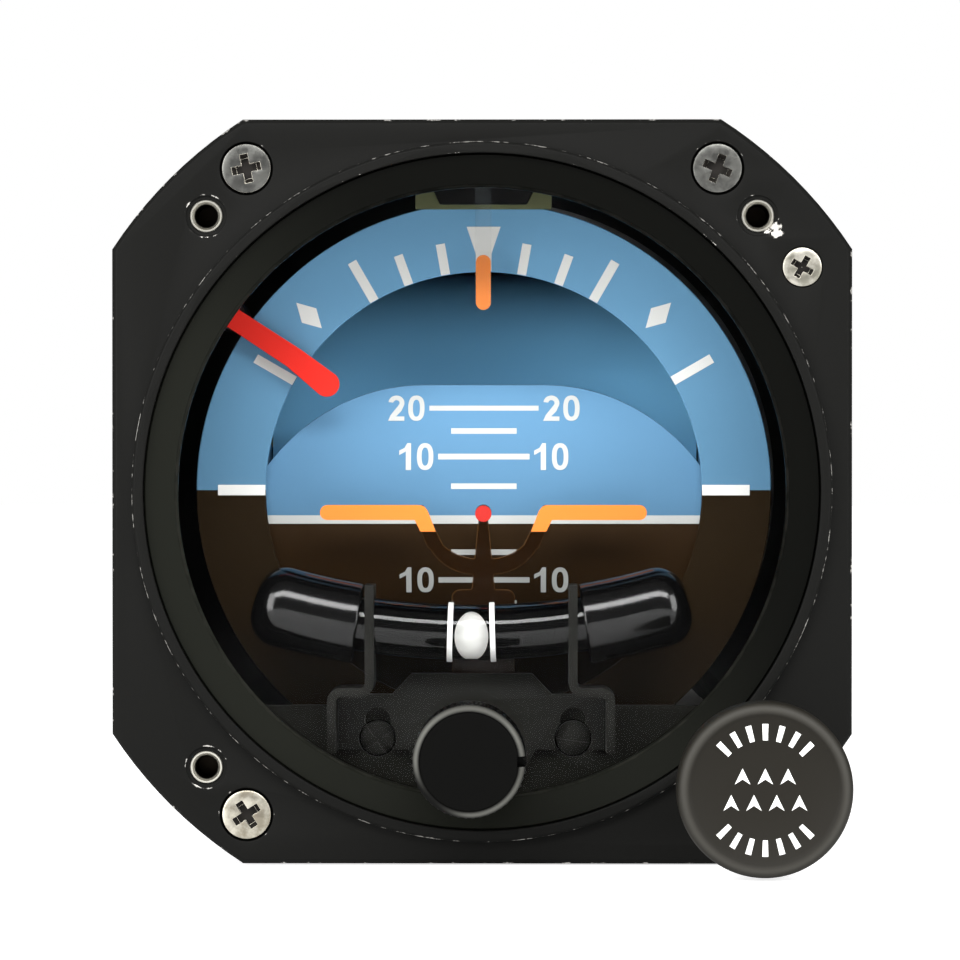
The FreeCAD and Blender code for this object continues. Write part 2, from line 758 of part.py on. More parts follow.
def make_pull_rod():
    rod = disc(ROD_R, PULL_FACE_Y + PULL_HEAD_T, ROD_END_Y, PULL_X, PULL_Z)
    collar = disc(COLLAR_R, COLLAR_Y, COLLAR_Y + COLLAR_T, PULL_X, PULL_Z)
    nut_y = COLLAR_Y + COLLAR_T + ARM_T
    nut = disc(COLLAR_R - GAP, nut_y, nut_y + COLLAR_T, PULL_X, PULL_Z)
    return joined(rod, collar, nut)


def make_return_spring():
    """Compression spring between the bush and the collar, as one turned sleeve with a ridge per coil."""
    front = -CASE_FLANGE_T
    pitch = (COLLAR_Y - front) / SPRING_TURNS
    profile = [(front, SPRING_IN_R)]
    for turn in range(SPRING_TURNS):
        start = front + turn * pitch
        profile.append((start, SPRING_OUT_R))
        profile.append((start + pitch / 2, SPRING_OUT_R))
        profile.append((start + pitch / 2, SPRING_CORE_R))
        profile.append((start + pitch, SPRING_CORE_R))
    profile.append((COLLAR_Y, SPRING_IN_R))
    return lathe_y(profile, PULL_X, PULL_Z)


def make_caging_arm():
    """Finger carried by the rod: out through the slot, forward along the can and in to the crown."""
    y0 = COLLAR_Y + COLLAR_T
    half = ARM_W / 2
    eye = disc(COLLAR_R - GAP, y0, y0 + ARM_T, PULL_AXIS_R, 0)
    arm = block(ARM_STEP_R, PULL_AXIS_R, y0, y0 + ARM_T, -half, half)
    prong = block(ARM_STEP_R, ARM_STEP_R + ARM_STEP_W, CAGE_Y, y0 + ARM_T, -half, half)
    finger = block(ARM_TIP_R, ARM_STEP_R + ARM_STEP_W, CAGE_Y, CAGE_Y + ARM_T - 2 * GAP, -half, half)
    whole = joined(eye, arm, prong, finger).cut(disc(ROD_R, y0, y0 + ARM_T, PULL_AXIS_R, 0))
    return swung(whole, PULL_ANGLE)


# ---------------------------------------------------------------- dial frame and what it carries
def mask_screw_spots():
    centre = SLIP_X + EYE_OFFSET
    return [(centre - EYE_X, EYE_Z), (centre + EYE_X, EYE_Z)]


def make_dial_frame():
    parts = [tube(FRAME_R, FRAME_IN_R, -CASE_FLANGE_T, FRAME_REAR_Y)]
    lug_rear = DIAL_Y - 3 * SWING
    for x, z in mask_screw_spots():
        angle = math.degrees(math.atan2(z, x))
        reach = math.hypot(x, z) - 1.5 * MASK_HEAD_R
        parts.append(sector_y(
            reach, FRAME_R, angle - LUG_HALF_ANGLE, angle + LUG_HALF_ANGLE, MASK_REAR_Y, lug_rear))
    flag_angle = math.degrees(math.atan2(FLAG_Z, FLAG_X))
    meter_end = METER_Y + METER_LEN
    shelf_in_r = FRAME_IN_R + GAP
    parts.append(sector_y(shelf_in_r, FRAME_R, flag_angle + 4, flag_angle + 11, FRAME_REAR_Y - 1, meter_end))
    parts.append(sector_y(shelf_in_r, FRAME_R, flag_angle - 6, flag_angle + 11, METER_Y, meter_end))
    frame = joined(*parts)
    holes = [disc(MASK_SHANK_R, MASK_REAR_Y, lug_rear, x, z) for x, z in mask_screw_spots()]
    holes.append(disc(METER_R, METER_Y, meter_end, FLAG_X, FLAG_Z))
    return without(frame, *holes)


def make_lower_mask_plate():
    radius = FRAME_IN_R - GAP
    plate = disc(radius, MASK_Y, MASK_REAR_Y).common(
        block(-radius, radius, MASK_Y, MASK_REAR_Y, -radius, MASK_TOP_Z))
    rail_rear = DIAL_Y - 3 * SWING
    right = rack_back_x() + GAP
    low_z = RACK_LOW_Z - GAP
    right_rail = block(right, right + RAIL_W, MASK_REAR_Y, rail_rear, low_z, MASK_TOP_Z - RAIL_REACH / 2)
    left = -TONGUE_X - GAP
    left_rail = block(left - RAIL_W, left, MASK_REAR_Y, rail_rear, MASK_TOP_Z - RAIL_REACH, MASK_TOP_Z + RAIL_REACH)
    plate = joined(plate, right_rail, left_rail)
    holes = [disc(SLEEVE_R, MASK_Y, MASK_REAR_Y, KNOB_X, KNOB_Z)]
    for x, z in mask_screw_spots():
        holes.append(disc(EYE_R, MASK_Y, mask_head_y() + MASK_HEAD_T, x, z))
        holes.append(disc(MASK_SHANK_R + GAP, MASK_Y, MASK_REAR_Y, x, z))
    return without(plate, *holes)


def mask_head_y():
    """Front plane of the mask screws, sunk in their pockets."""
    return MASK_Y + GAP


def make_mask_screws():
    screws = []
    slots = (0, 1)
    for (x, z), crossed in zip(mask_screw_spots(), slots):
        front = mask_head_y()
        head = disc(EYE_R - 2 * GAP, front, front + MASK_HEAD_T, x, z)
        shank = disc(MASK_SHANK_R, front, DIAL_Y - 4 * SWING, x, z)
        half = RECESS_SLOT / 2
        slot = block(x - EYE_R, x + EYE_R, front, front + half, z - half, z + half)
        if crossed:
            cutter = swung(slot, -8, x, z)
        else:
            cutter = swung(slot.fuse(swung(slot, 90, x, z)), 35, x, z)
        screws.append(joined(head, shank).cut(cutter))
    return screws


def bracket_leg():
    """One bent leg, right of the inclinometer's centre line, its bends rounded as bent sheet."""
    t = BRACKET_T
    y0 = BRACKET_FRONT_Y
    y1 = MASK_Y
    upper = block(LEG_X - t / 2, LEG_X + t / 2, y0, y1, STEP_Z - t, LEG_TOP_Z)
    step = block(LEG_X - t / 2, STEP_X + t / 2, y0, y1, STEP_Z - t, STEP_Z)
    lower = block(STEP_X - t / 2, STEP_X + t / 2, y0, y1, LEG_END_Z, STEP_Z)
    leg = joined(upper, step, lower)
    outside = [(LEG_X - t / 2, STEP_Z - t), (STEP_X + t / 2, STEP_Z)]
    inside = [(LEG_X + t / 2, STEP_Z), (STEP_X - t / 2, STEP_Z - t)]
    leg = leg.makeFillet(BEND_R + t, edges_along_y(leg, outside))
    return leg.makeFillet(BEND_R, edges_along_y(leg, inside))


def make_inclinometer_bracket():
    t = BRACKET_T
    side = STEP_X - t / 2
    top = STEP_Z - t
    right_half = [
        (0, BRACKET_TOP_Z),
        (BRACKET_TOP_X, BRACKET_TOP_Z),
        (BRACKET_SLANT_X, top),
        (side, top),
        (side, LEG_END_Z),
        (BRACKET_TAB_X + 2, LEG_END_Z),
        (BRACKET_TAB_X, BRACKET_TAB_Z),
        (0, BRACKET_TAB_Z),
    ]
    outline = right_half + [(-x, z) for x, z in reversed(right_half)]
    plate = prism_y(outline[:-1], BRACKET_Y, MASK_Y)
    leg = bracket_leg()
    bracket = joined(plate, leg, flipped(leg))
    bracket.translate(V(SLIP_X, 0, 0))
    holes = [slip_tube_solid(TUBE_R), disc(SLEEVE_R, BRACKET_Y, MASK_Y, KNOB_X, KNOB_Z)]
    for x, z in mask_screw_spots():
        holes.append(disc(EYE_R, BRACKET_Y, MASK_Y, x, z))
        holes.append(disc(EYE_LOBE_R, BRACKET_Y, MASK_Y, x, z + EYE_LOBE_UP))
    return without(bracket, *holes)


def arc_turn(offset):
    """Angle in degrees that brings the middle of the slip tube to a sideways offset."""
    return math.degrees(math.asin(offset / TUBE_ARC_R))


def bent_bar(radius, from_x, to_x):
    """Round bar that follows the slip tube's arc between two sideways offsets."""
    start = arc_turn(from_x)
    centre = V(SLIP_X, TUBE_Y, TUBE_CENTRE_Z)
    face = Part.Face(Part.Wire([Part.makeCircle(radius, V(SLIP_X, TUBE_Y, TUBE_LOW_Z), AXIS_X)]))
    bar = face.revolve(centre, -AXIS_Y, arc_turn(to_x) - start)
    bar.rotate(centre, -AXIS_Y, start)
    return bar


def slip_tube_solid(radius):
    return bent_bar(radius, -CAP_END + 2, CAP_END - 2)


def make_inclinometer_tube():
    return slip_tube_solid(TUBE_R).cut(bent_bar(TUBE_BORE_R, -CAP_END + 3, CAP_END - 3))


def end_cap():
    body = bent_bar(CAP_R, CAP_START, CAP_END)
    end = [e for e in body.Edges if e.CenterOfMass.x > SLIP_X + CAP_END - 2 and e.Length > CAP_R]
    body = body.makeFillet(CAP_R * 0.72, end)
    return body.cut(slip_tube_solid(TUBE_R))


def make_inclinometer_end_caps():
    right = end_cap()
    left = right.mirror(V(SLIP_X, 0, 0), AXIS_X)
    return [right, left]


def make_index_wires():
    wires = []
    for side in (-1, 1):
        x = side * WIRE_X
        ring = bent_bar(TUBE_R + WIRE_T, x - WIRE_W / 2, x + WIRE_W / 2)
        wires.append(ring.cut(slip_tube_solid(TUBE_R)))
    return wires


def make_inclinometer_ball():
    return Part.makeSphere(BALL_R, V(SLIP_X, TUBE_Y, TUBE_LOW_Z - TUBE_BORE_R + BALL_R + SLIP))


def make_roll_pointer():
    half = POINTER_W / 2
    y0 = FRAME_REAR_Y - POINTER_T
    strip = block(-half, half, y0, FRAME_REAR_Y, POINTER_TIP_Z + half, POINTER_TOP_Z)
    return joined(strip, disc(half, y0, FRAME_REAR_Y, 0, POINTER_TIP_Z + half))


def make_pointer_block():
    outline = [
        (-BLOCK_TOP_X, BLOCK_TOP_Z), (BLOCK_TOP_X, BLOCK_TOP_Z),
        (BLOCK_LOW_X, BLOCK_LOW_Z), (-BLOCK_LOW_X, BLOCK_LOW_Z),
    ]
    return prism_y(outline, FRAME_REAR_Y, FRAME_REAR_Y + BLOCK_T)


def make_lamp_board():
    y0 = FRAME_REAR_Y + BLOCK_T
    return block(-LAMP_X, LAMP_X, y0, y0 + LAMP_T, LAMP_LOW_Z, LAMP_TOP_Z)


def make_warning_flag():
    half = FLAG_W / 2
    arm = block(0, FLAG_ARM, FLAG_Y, FLAG_Y + FLAG_T, -half, half)
    tip = FLAG_PADDLE_W / 2
    paddle = joined(
        block(-half, FLAG_PADDLE - tip, FLAG_Y, FLAG_Y + FLAG_T, -tip, tip),
        disc(tip, FLAG_Y, FLAG_Y + FLAG_T, FLAG_PADDLE - tip, 0),
        disc(tip, FLAG_Y, FLAG_Y + FLAG_T, -half, 0))
    paddle = swung(paddle, -FLAG_BEND)
    paddle.translate(V(FLAG_ARM, 0, 0))
    hub = disc(FLAG_HUB_R, FLAG_Y, METER_Y - GAP)
    pin = disc(FLAG_PIN_R, FLAG_Y, METER_Y + 3)
    flag = swung(joined(arm, paddle, hub, pin), -FLAG_SLOPE)
    flag.translate(V(FLAG_X, 0, FLAG_Z))
    return flag


def make_flag_actuator():
    body = disc(METER_R, METER_Y, METER_Y + METER_LEN, FLAG_X, FLAG_Z)
    return body.cut(disc(FLAG_PIN_R + SLIP, METER_Y, METER_Y + 3 + GAP, FLAG_X, FLAG_Z))


# ---------------------------------------------------------------- airplane and its knob
def make_pitch_knob_bushing():
    front = GLASS_FRONT_Y - SLEEVE_FLANGE_T
    sleeve = disc(SLEEVE_R, front, MASK_REAR_Y, KNOB_X, KNOB_Z)
    flange = disc(SLEEVE_FLANGE_R, front, GLASS_FRONT_Y, KNOB_X, KNOB_Z)
    bore = disc(SHAFT_R + SLIP, front, MASK_REAR_Y, KNOB_X, KNOB_Z)
    return joined(sleeve, flange).cut(bore)


def make_pitch_knob():
    """Turned knob with a knurled rim, a bevelled front and a shallow dish."""
    knob = lathe_y([
        (KNOB_FRONT_Y + KNOB_DISH, 0),
        (KNOB_FRONT_Y + KNOB_DISH, KNOB_R - KNOB_BEVEL - KNOB_DISH),
        (KNOB_FRONT_Y, KNOB_R - KNOB_BEVEL),
        (KNOB_FRONT_Y + KNOB_BEVEL, KNOB_R),
        (KNOB_REAR_Y - KNOB_BEVEL, KNOB_R),
        (KNOB_REAR_Y, KNOB_R - KNOB_BEVEL),
        (KNOB_REAR_Y, 0),
    ], KNOB_X, KNOB_Z)
    grooves = []
    for number in range(KNURLS):
        angle = 360 * number / KNURLS
        groove = prism_y([(KNOB_R - KNURL_DEPTH, 0), (KNOB_R + KNURL_DEPTH, KNURL_DEPTH * 1.6),
                          (KNOB_R + KNURL_DEPTH, -KNURL_DEPTH * 1.6)], KNOB_FRONT_Y, KNOB_REAR_Y)
        groove = swung(groove, angle)
        groove.translate(V(KNOB_X, 0, KNOB_Z))
        grooves.append(groove)
    bore = disc(SHAFT_R, KNOB_REAR_Y - (KNOB_REAR_Y - KNOB_FRONT_Y) / 2, KNOB_REAR_Y, KNOB_X, KNOB_Z)
    return without(knob, *grooves, bore)


def make_pitch_knob_shaft():
    front = KNOB_REAR_Y - (KNOB_REAR_Y - KNOB_FRONT_Y) / 2
    return disc(SHAFT_R, front, SHAFT_END_Y, KNOB_X, KNOB_Z)


def pinion_rear_y():
    return DIAL_Y - 3 * SWING


def make_pitch_pinion():
    """Small gear on the knob shaft, a gap between two teeth turned to the rack."""
    points = []
    for radius, turn in toothed_outline(PINION_TEETH, RACK_MODULE, RACK_ANGLE, RACK_BACKLASH, 0, PINION_TEETH):
        points.append((KNOB_X + radius * math.cos(turn), KNOB_Z + radius * math.sin(turn)))
    gear = prism_y(points, PLANE_Y + PLANE_T + GAP, pinion_rear_y())
    gear = swung(gear, 180 / PINION_TEETH, KNOB_X, KNOB_Z)
    return gear.cut(disc(SHAFT_R, MASK_REAR_Y, SHAFT_END_Y, KNOB_X, KNOB_Z))


def rack_line_x():
    return KNOB_X + PINION_PITCH_R


def rack_back_x():
    return rack_line_x() + RACK_BACK


def make_airplane_rack():
    """Rack whose teeth face -X, one tooth level with the knob shaft, with a foot on the tongue."""
    line = rack_line_x()
    pitch = math.pi * RACK_MODULE
    lean = math.tan(math.radians(RACK_ANGLE))
    y0 = PLANE_Y + PLANE_T
    y1 = pinion_rear_y()
    root = line + 1.25 * RACK_MODULE
    top = TONGUE_END_Z + 3
    bar = block(root, rack_back_x(), y0, y1, RACK_LOW_Z, top)
    foot = block(-TONGUE_X + 1, rack_back_x(), y0, y1, top - RACK_FOOT, top)
    teeth = []
    half = pitch / 4 - RACK_BACKLASH / 2
    for number in range(-RACK_TEETH // 2, RACK_TEETH // 2 + 1):
        z = KNOB_Z + number * pitch
        if z - half < RACK_LOW_Z + pitch / 4 or z + half > TONGUE_END_Z:
            continue
        wide = half + 1.25 * RACK_MODULE * lean
        narrow = half - RACK_MODULE * lean
        teeth.append(prism_y([(root + GAP, z - wide), (root, z - wide), (line - RACK_MODULE, z - narrow),
                              (line - RACK_MODULE, z + narrow), (root, z + wide), (root + GAP, z + wide)], y0, y1))
    return joined(bar, foot, *teeth)


def make_airplane_symbol():
    """Clear sheet: two wings, two arms that curve to a stem, and a tongue behind the mask."""
    y0 = PLANE_Y
    y1 = PLANE_Y + PLANE_T
    half = WING_T / 2
    straight = block(WING_ROOT_X, WING_TIP_X - half, y0, y1, WING_Z - half, WING_Z + half)
    tip = disc(half, y0, y1, WING_TIP_X - half, WING_Z)
    slope = prism_y([
        (WING_ROOT_X + half, WING_Z + half), (WING_ROOT_X - half / 2, WING_Z + half),
        (ARM_LOW_X - half, ARM_LOW_Z), (ARM_LOW_X + half, ARM_LOW_Z - half / 2),
        (WING_ROOT_X + half / 2, WING_Z - half),
    ], y0, y1)
    curve = saddle_arm(y0, y1, half)
    right = joined(straight, tip, slope, curve)
    stem = prism_y([
        (-STEM_TOP_W / 2, WING_Z), (STEM_TOP_W / 2, WING_Z),
        (STEM_LOW_W / 2, TONGUE_TOP_Z), (-STEM_LOW_W / 2, TONGUE_TOP_Z),
    ], y0, y1)
    tongue = block(-TONGUE_X, TONGUE_X, y0, y1, TONGUE_END_Z, TONGUE_TOP_Z + SWING)
    corners = [(-TONGUE_X, TONGUE_TOP_Z + SWING), (TONGUE_X, TONGUE_TOP_Z + SWING)]
    tongue = tongue.makeFillet(TONGUE_CORNER, edges_along_y(tongue, corners))
    dot = disc(DOT_R, y0, y1, 0, WING_Z)
    return joined(right, flipped(right), stem, tongue, dot)


def saddle_arm(y0, y1, half):
    """Quarter curve from the wing's lower bend in to the stem."""
    drop = ARM_LOW_Z - SADDLE_Z
    start = V(ARM_LOW_X + half, y0, ARM_LOW_Z)
    low = V(STEM_TOP_W / 2, y0, SADDLE_Z - half)
    high = V(STEM_TOP_W / 2, y0, SADDLE_Z + half)
    back = V(ARM_LOW_X - half, y0, ARM_LOW_Z)
    bend = V(ARM_LOW_X * 0.72, y0, ARM_LOW_Z - drop * 0.86 - half * 0.6)
    inner = V(ARM_LOW_X * 0.56, y0, ARM_LOW_Z - drop * 0.7 + half * 0.8)
    edges = [
        Part.Arc(start, bend, low).toShape(), Part.makeLine(low, high),
        Part.Arc(high, inner, back).toShape(), Part.makeLine(back, start),
    ]
    return Part.Face(Part.Wire(edges)).extrude(V(0, y1 - y0, 0))


# ---------------------------------------------------------------- roll frame
def make_roll_dial_ring():
    return tube(DIAL_OUT_R, DIAL_IN_R, DIAL_Y, DIAL_REAR_Y)


def make_roll_cage_crown():
    """Crown behind the roll ring; its low point meets the caging finger when the wings are level."""
    y0 = DIAL_REAR_Y
    ring = tube(CROWN_OUT_R, CROWN_OUT_R - CROWN_WALL, y0, y0 + CROWN_HIGH)
    rise = CROWN_HIGH - CROWN_LOW
    reach = CROWN_OUT_R + 1
    cutter = prism_x([
        (y0 + CROWN_LOW, -reach), (y0 + CROWN_LOW + 2 * rise, reach),
        (y0 + CROWN_HIGH + 4 * rise, reach), (y0 + CROWN_HIGH + 4 * rise, -reach),
    ], -reach, reach)
    return ring.cut(swung(cutter, PULL_ANGLE + 90))


def yoke_arm():
    """Right side arm, waisted between its two bearings' bosses."""
    ring_y = DIAL_REAR_Y
    end_y = YOKE_BASE_Y + YOKE_BASE_T
    upper = [
        (ring_y, ARM_FRONT_Z), (DRUM_Y - 14, ARM_WAIST_Z), (DRUM_Y, ARM_WAIST_Z),
        (GIMBAL_Y + 8, ARM_WAIST_Z), (YOKE_BASE_Y, ARM_BASE_Z), (end_y, ARM_BASE_Z),
    ]
    outline = upper + [(y, -z) for y, z in reversed(upper)]
    arm = prism_x(outline, ARM_IN_X, ARM_OUT_X)
    window_half = ARM_WAIST_Z / 2
    front_window = prism_x([
        (ring_y + 5, -window_half), (DRUM_Y - 7, -window_half + 1), (DRUM_Y - 7, window_half - 1),
        (ring_y + 5, window_half)], ARM_IN_X, ARM_OUT_X)
    rear_window = prism_x([
        (GIMBAL_Y + 8, -window_half + 1), (YOKE_BASE_Y - 3, -window_half), (YOKE_BASE_Y - 3, window_half),
        (GIMBAL_Y + 8, window_half - 1)], ARM_IN_X, ARM_OUT_X)
    return without(arm, front_window, rear_window)


def make_roll_yoke():
    ring = tube(YOKE_RING_OUT_R, YOKE_RING_IN_R, DIAL_REAR_Y, DIAL_REAR_Y + YOKE_RING_T)
    arm = yoke_arm()
    base_end = YOKE_BASE_Y + YOKE_BASE_T
    base = disc(YOKE_BASE_R, YOKE_BASE_Y, base_end)
    spokes = []
    for number in range(SPOKE_HOLES):
        x, z = polar(SPOKE_CIRCLE_R, 90 + 360 * number / SPOKE_HOLES)
        spokes.append(disc(SPOKE_HOLE_R, YOKE_BASE_Y, base_end, x, z))
    hub = disc(HUB_R, YOKE_BASE_Y - HUB_PROUD / 3, base_end + HUB_PROUD)
    yoke = joined(ring, arm, flipped(arm), without(base, *spokes), hub)
    holes = [disc(SPINDLE_R, YOKE_BASE_Y - HUB_PROUD / 3, base_end + HUB_PROUD)]
    for side in (-1, 1):
        low, high = sorted((side * ARM_IN_X, side * ARM_OUT_X))
        holes.append(bar_x(STUB_R, low, high, DRUM_Y))
        holes.append(bar_x(PIVOT_BEARING_R, low, high, GIMBAL_Y))
    return without(yoke, *holes)


def make_drum_stub_shafts():
    right = bar_x(STUB_R, SKY_X - SKY_T, ARM_OUT_X, DRUM_Y)
    return [right, flipped(right)]


def make_pitch_bearings():
    right = tube_x(PIVOT_BEARING_R, PIVOT_R + SLIP, ARM_IN_X, ARM_OUT_X, GIMBAL_Y)
    return [right, flipped(right)]


def half_ellipse_prism(shrink, x):
    """Elliptical prism about the drum axis, kept in front of that axis."""
    centre = V(-x, DRUM_Y, 0)
    high = V(-x, DRUM_Y, SKY_RADIUS_Z - shrink)
    front = V(-x, DRUM_Y - SKY_RADIUS_Y + shrink, 0)
    edge = Part.Ellipse(high, front, centre).toShape()
    solid = Part.Face(Part.Wire([edge])).extrude(V(2 * x, 0, 0))
    return solid.common(block(-x, x, 0, DRUM_Y, -SKY_RADIUS_Z, SKY_RADIUS_Z))


def make_sky_backdrop():
    """Fixed sky and ground shell inside the drum's sweep, hung on the stub shafts."""
    shell = half_ellipse_prism(0, SKY_X).cut(half_ellipse_prism(SKY_T, SKY_X - SKY_T))
    ear = bar_x(CHEEK_HUB_R, SKY_X - SKY_T, SKY_X, DRUM_Y)
    shell = joined(shell, ear, flipped(ear))
    return shell.cut(bar_x(STUB_R, -SKY_X, SKY_X, DRUM_Y))


def make_roll_spindle():
    front = YOKE_BASE_Y - HUB_PROUD / 3
    spindle = disc(SPINDLE_R, front, SPINDLE_END_Y)
    collar = disc(SPINDLE_COLLAR_R, YOKE_BASE_Y + YOKE_BASE_T + HUB_PROUD, BULKHEAD_Y - SWING)
    return joined(spindle, collar)


def make_slip_ring_drum():
    step = BRUSH_LEN / (2 * BRUSH_RINGS + 1)
    profile = [(BRUSH_Y, SPINDLE_R)]
    for number in range(2 * BRUSH_RINGS + 1):
        radius = BRUSH_DRUM_R - (number % 2) * BRUSH_GROOVE
        profile.append((BRUSH_Y + number * step, radius))
        profile.append((BRUSH_Y + (number + 1) * step, radius))
    profile.append((BRUSH_Y + BRUSH_LEN, SPINDLE_R))
    return lathe_y(profile)


def make_roll_balance_weights():
    y0 = YOKE_BASE_Y - TRIM_T
    return [disc(TRIM_R, y0, YOKE_BASE_Y, TRIM_X, z) for z in (-TRIM_Z, TRIM_Z)]


# ---------------------------------------------------------------- pitch drum
def card_window():
    """Outline of the card seen square on: flat crest and foot, with rounded shoulders."""
    rise = CARD_CURVE_R - math.sqrt(CARD_CURVE_R ** 2 - (CARD_X - CARD_FLAT_X) ** 2)
    middle_x = (CARD_X + CARD_FLAT_X) / 2
    middle_rise = CARD_CURVE_R - math.sqrt(CARD_CURVE_R ** 2 - (middle_x - CARD_FLAT_X) ** 2)
    y0 = DRUM_Y - CARD_R - 1

    def at(x, z):
        return V(x, y0, z)

    def shoulder(sx, sz):
        ends = [at(sx * CARD_FLAT_X, sz * CARD_TOP), at(sx * middle_x, sz * (CARD_TOP - middle_rise)),
                at(sx * CARD_X, sz * (CARD_TOP - rise))]
        return Part.Arc(*ends).toShape(), ends[0], ends[2]

    top_right, a, b = shoulder(1, 1)
    low_right, d, c = shoulder(1, -1)
    low_left, e, f = shoulder(-1, -1)
    top_left, h, g = shoulder(-1, 1)
    edges = [top_right, Part.makeLine(b, c), low_right, Part.makeLine(d, e), low_left,
             Part.makeLine(f, g), top_left, Part.makeLine(h, a)]
    return Part.Face(Part.Wire(edges)).extrude(V(0, CARD_R + 1, 0))


def make_pitch_drum():
    """Curved card with its two cheeks, which run on the stub shafts."""
    skin = tube_x(CARD_R, CARD_IN_R, -CARD_X, CARD_X, DRUM_Y).common(card_window())
    spread = CHEEK_HALF_ANGLE
    cheek = joined(
        sector_x(STUB_R * 2, CARD_R, -spread, spread, CARD_X - CHEEK_T, CARD_X, DRUM_Y),
        bar_x(CHEEK_HUB_R, CARD_X - CHEEK_T, CARD_X, DRUM_Y))
    drum = joined(skin, cheek, flipped(cheek)).cut(bar_x(STUB_R + SLIP, -CARD_X, CARD_X, DRUM_Y))
    return pitched(drum, HORIZON_DROP, DRUM_Y)


def make_drum_gear():
    """Gear on the right cheek, one tooth on the line to the gimbal's axis."""
    points = []
    for radius, turn in toothed_outline(DRUM_TEETH, GEAR_MODULE, GEAR_ANGLE, GEAR_BACKLASH, 0, DRUM_TEETH):
        points.append((DRUM_Y + radius * math.cos(turn), radius * math.sin(turn)))
    gear = prism_x(points, GEAR_X, GEAR_X + GEAR_T)
    hub = bar_x(CHEEK_HUB_R, CARD_X, GEAR_X, DRUM_Y)
    return joined(gear, hub).cut(bar_x(STUB_R + SLIP, CARD_X, GEAR_X + GEAR_T, DRUM_Y))


def make_drum_counterweight():
    """Brass weight on the left cheek, opposite the card."""
    end = ARM_IN_X - 2 * GAP
    weight = sector_x(DRUM_WEIGHT_IN_R, DRUM_WEIGHT_R, 180 - DRUM_WEIGHT_ANGLE, 180 + DRUM_WEIGHT_ANGLE,
                      -end, -CARD_X, DRUM_Y)
    hub = tube_x(CHEEK_HUB_R, STUB_R + SLIP, -end, -CARD_X, DRUM_Y)
    return pitched(joined(weight, hub), HORIZON_DROP, DRUM_Y)


# ---------------------------------------------------------------- pitch gimbal and rotor
def housing_shell(z0, z1):
    """Slice of the gyro housing between two heights."""
    r = HOUSING_R
    w = HOUSING_WALL
    h = HOUSING_Z
    b = HOUSING_ROUND
    outer = lathe_z([(-h, 0), (-h, r - b), (b - h, r), (h - b, r), (h, r - b), (h, 0)])
    inner = lathe_z([
        (w - h, 0), (w - h, r - b - w / 2), (b - h + w / 2, r - w),
        (h - b - w / 2, r - w), (h - w, r - b - w / 2), (h - w, 0)])
    return outer.cut(inner).common(bar_z(2 * r, z0, z1)), inner


def make_rotor_housing_lower():
    shell, inner = housing_shell(-HOUSING_Z, HOUSING_SPLIT_Z)
    boss = bar_x(PIVOT_BOSS_R, -PIVOT_BOSS_X, PIVOT_BOSS_X, GIMBAL_Y).cut(inner)
    floor_z = HOUSING_WALL - HOUSING_Z
    pedestal = bar_z(PEDESTAL_R, floor_z - 0.5, STATOR_Z)
    body = joined(shell, boss, pedestal)
    holes = [
        bar_z(SPIN_BEARING_R, floor_z, floor_z + SPIN_BEARING_T),
        bar_z(ROTOR_SHAFT_R + 1, floor_z, STATOR_Z),
        bar_x(PIVOT_R, -PIVOT_BOSS_X, PIVOT_BOSS_X, GIMBAL_Y),
    ]
    return without(body, *holes)


def make_rotor_housing_upper():
    shell, _ = housing_shell(HOUSING_SPLIT_Z, HOUSING_Z)
    roof_z = HOUSING_Z - HOUSING_WALL
    seat = bar_z(PEDESTAL_R, roof_z - SPIN_BEARING_T, roof_z + 0.5)
    return joined(shell, seat).cut(bar_z(SPIN_BEARING_R, roof_z - SPIN_BEARING_T, roof_z))


def make_gimbal_pivots():
    right = bar_x(PIVOT_R, PIVOT_START_X, ARM_OUT_X, GIMBAL_Y)
    return [right, flipped(right)]


def make_gimbal_gear_sector():
    """Toothed sector on the right pivot, a gap between two teeth on the line to the drum's axis."""
    outline = toothed_outline(GIMBAL_TEETH, GEAR_MODULE, GEAR_ANGLE, GEAR_BACKLASH,
                              -(SECTOR_TEETH // 2), SECTOR_TEETH + 1)
    half_pitch = math.pi / GIMBAL_TEETH
    points = []
    for radius, turn in outline:
        turn -= half_pitch
        points.append((GIMBAL_Y - radius * math.cos(turn), radius * math.sin(turn)))
    points.append((GIMBAL_Y + PIVOT_BOSS_R / 2, PIVOT_BOSS_R / 2))
    points.append((GIMBAL_Y + PIVOT_BOSS_R / 2, -PIVOT_BOSS_R / 2))
    plate = prism_x(points, GEAR_X, GEAR_X + GEAR_T)
    start = GEAR_X - SECTOR_HUB_T
    hub = bar_x(SECTOR_HUB_R, start, GEAR_X + GEAR_T, GIMBAL_Y)
    return joined(plate, hub).cut(bar_x(PIVOT_R, start, GEAR_X + GEAR_T, GIMBAL_Y))


def make_motor_stator():
    low_z = STATOR_LOW_Z
    core = bar_z(STATOR_R, low_z, STATOR_Z).cut(bar_z(PEDESTAL_R, low_z, STATOR_Z))
    slots = []
    for number in range(STATOR_SLOTS):
        slot = block(STATOR_R - 2, STATOR_R + 1, GIMBAL_Y - 0.6, GIMBAL_Y + 0.6, low_z, STATOR_Z)
        slot.rotate(V(0, GIMBAL_Y, 0), AXIS_Z, 360 * number / STATOR_SLOTS)
        slots.append(slot)
    return without(core, *slots)


def make_spin_bearings():
    floor_z = HOUSING_WALL - HOUSING_Z
    roof_z = HOUSING_Z - HOUSING_WALL
    pairs = [(floor_z, floor_z + SPIN_BEARING_T), (roof_z - SPIN_BEARING_T, roof_z)]
    return [bar_z(SPIN_BEARING_R, a, b).cut(bar_z(ROTOR_SHAFT_R + SLIP, a, b)) for a, b in pairs]


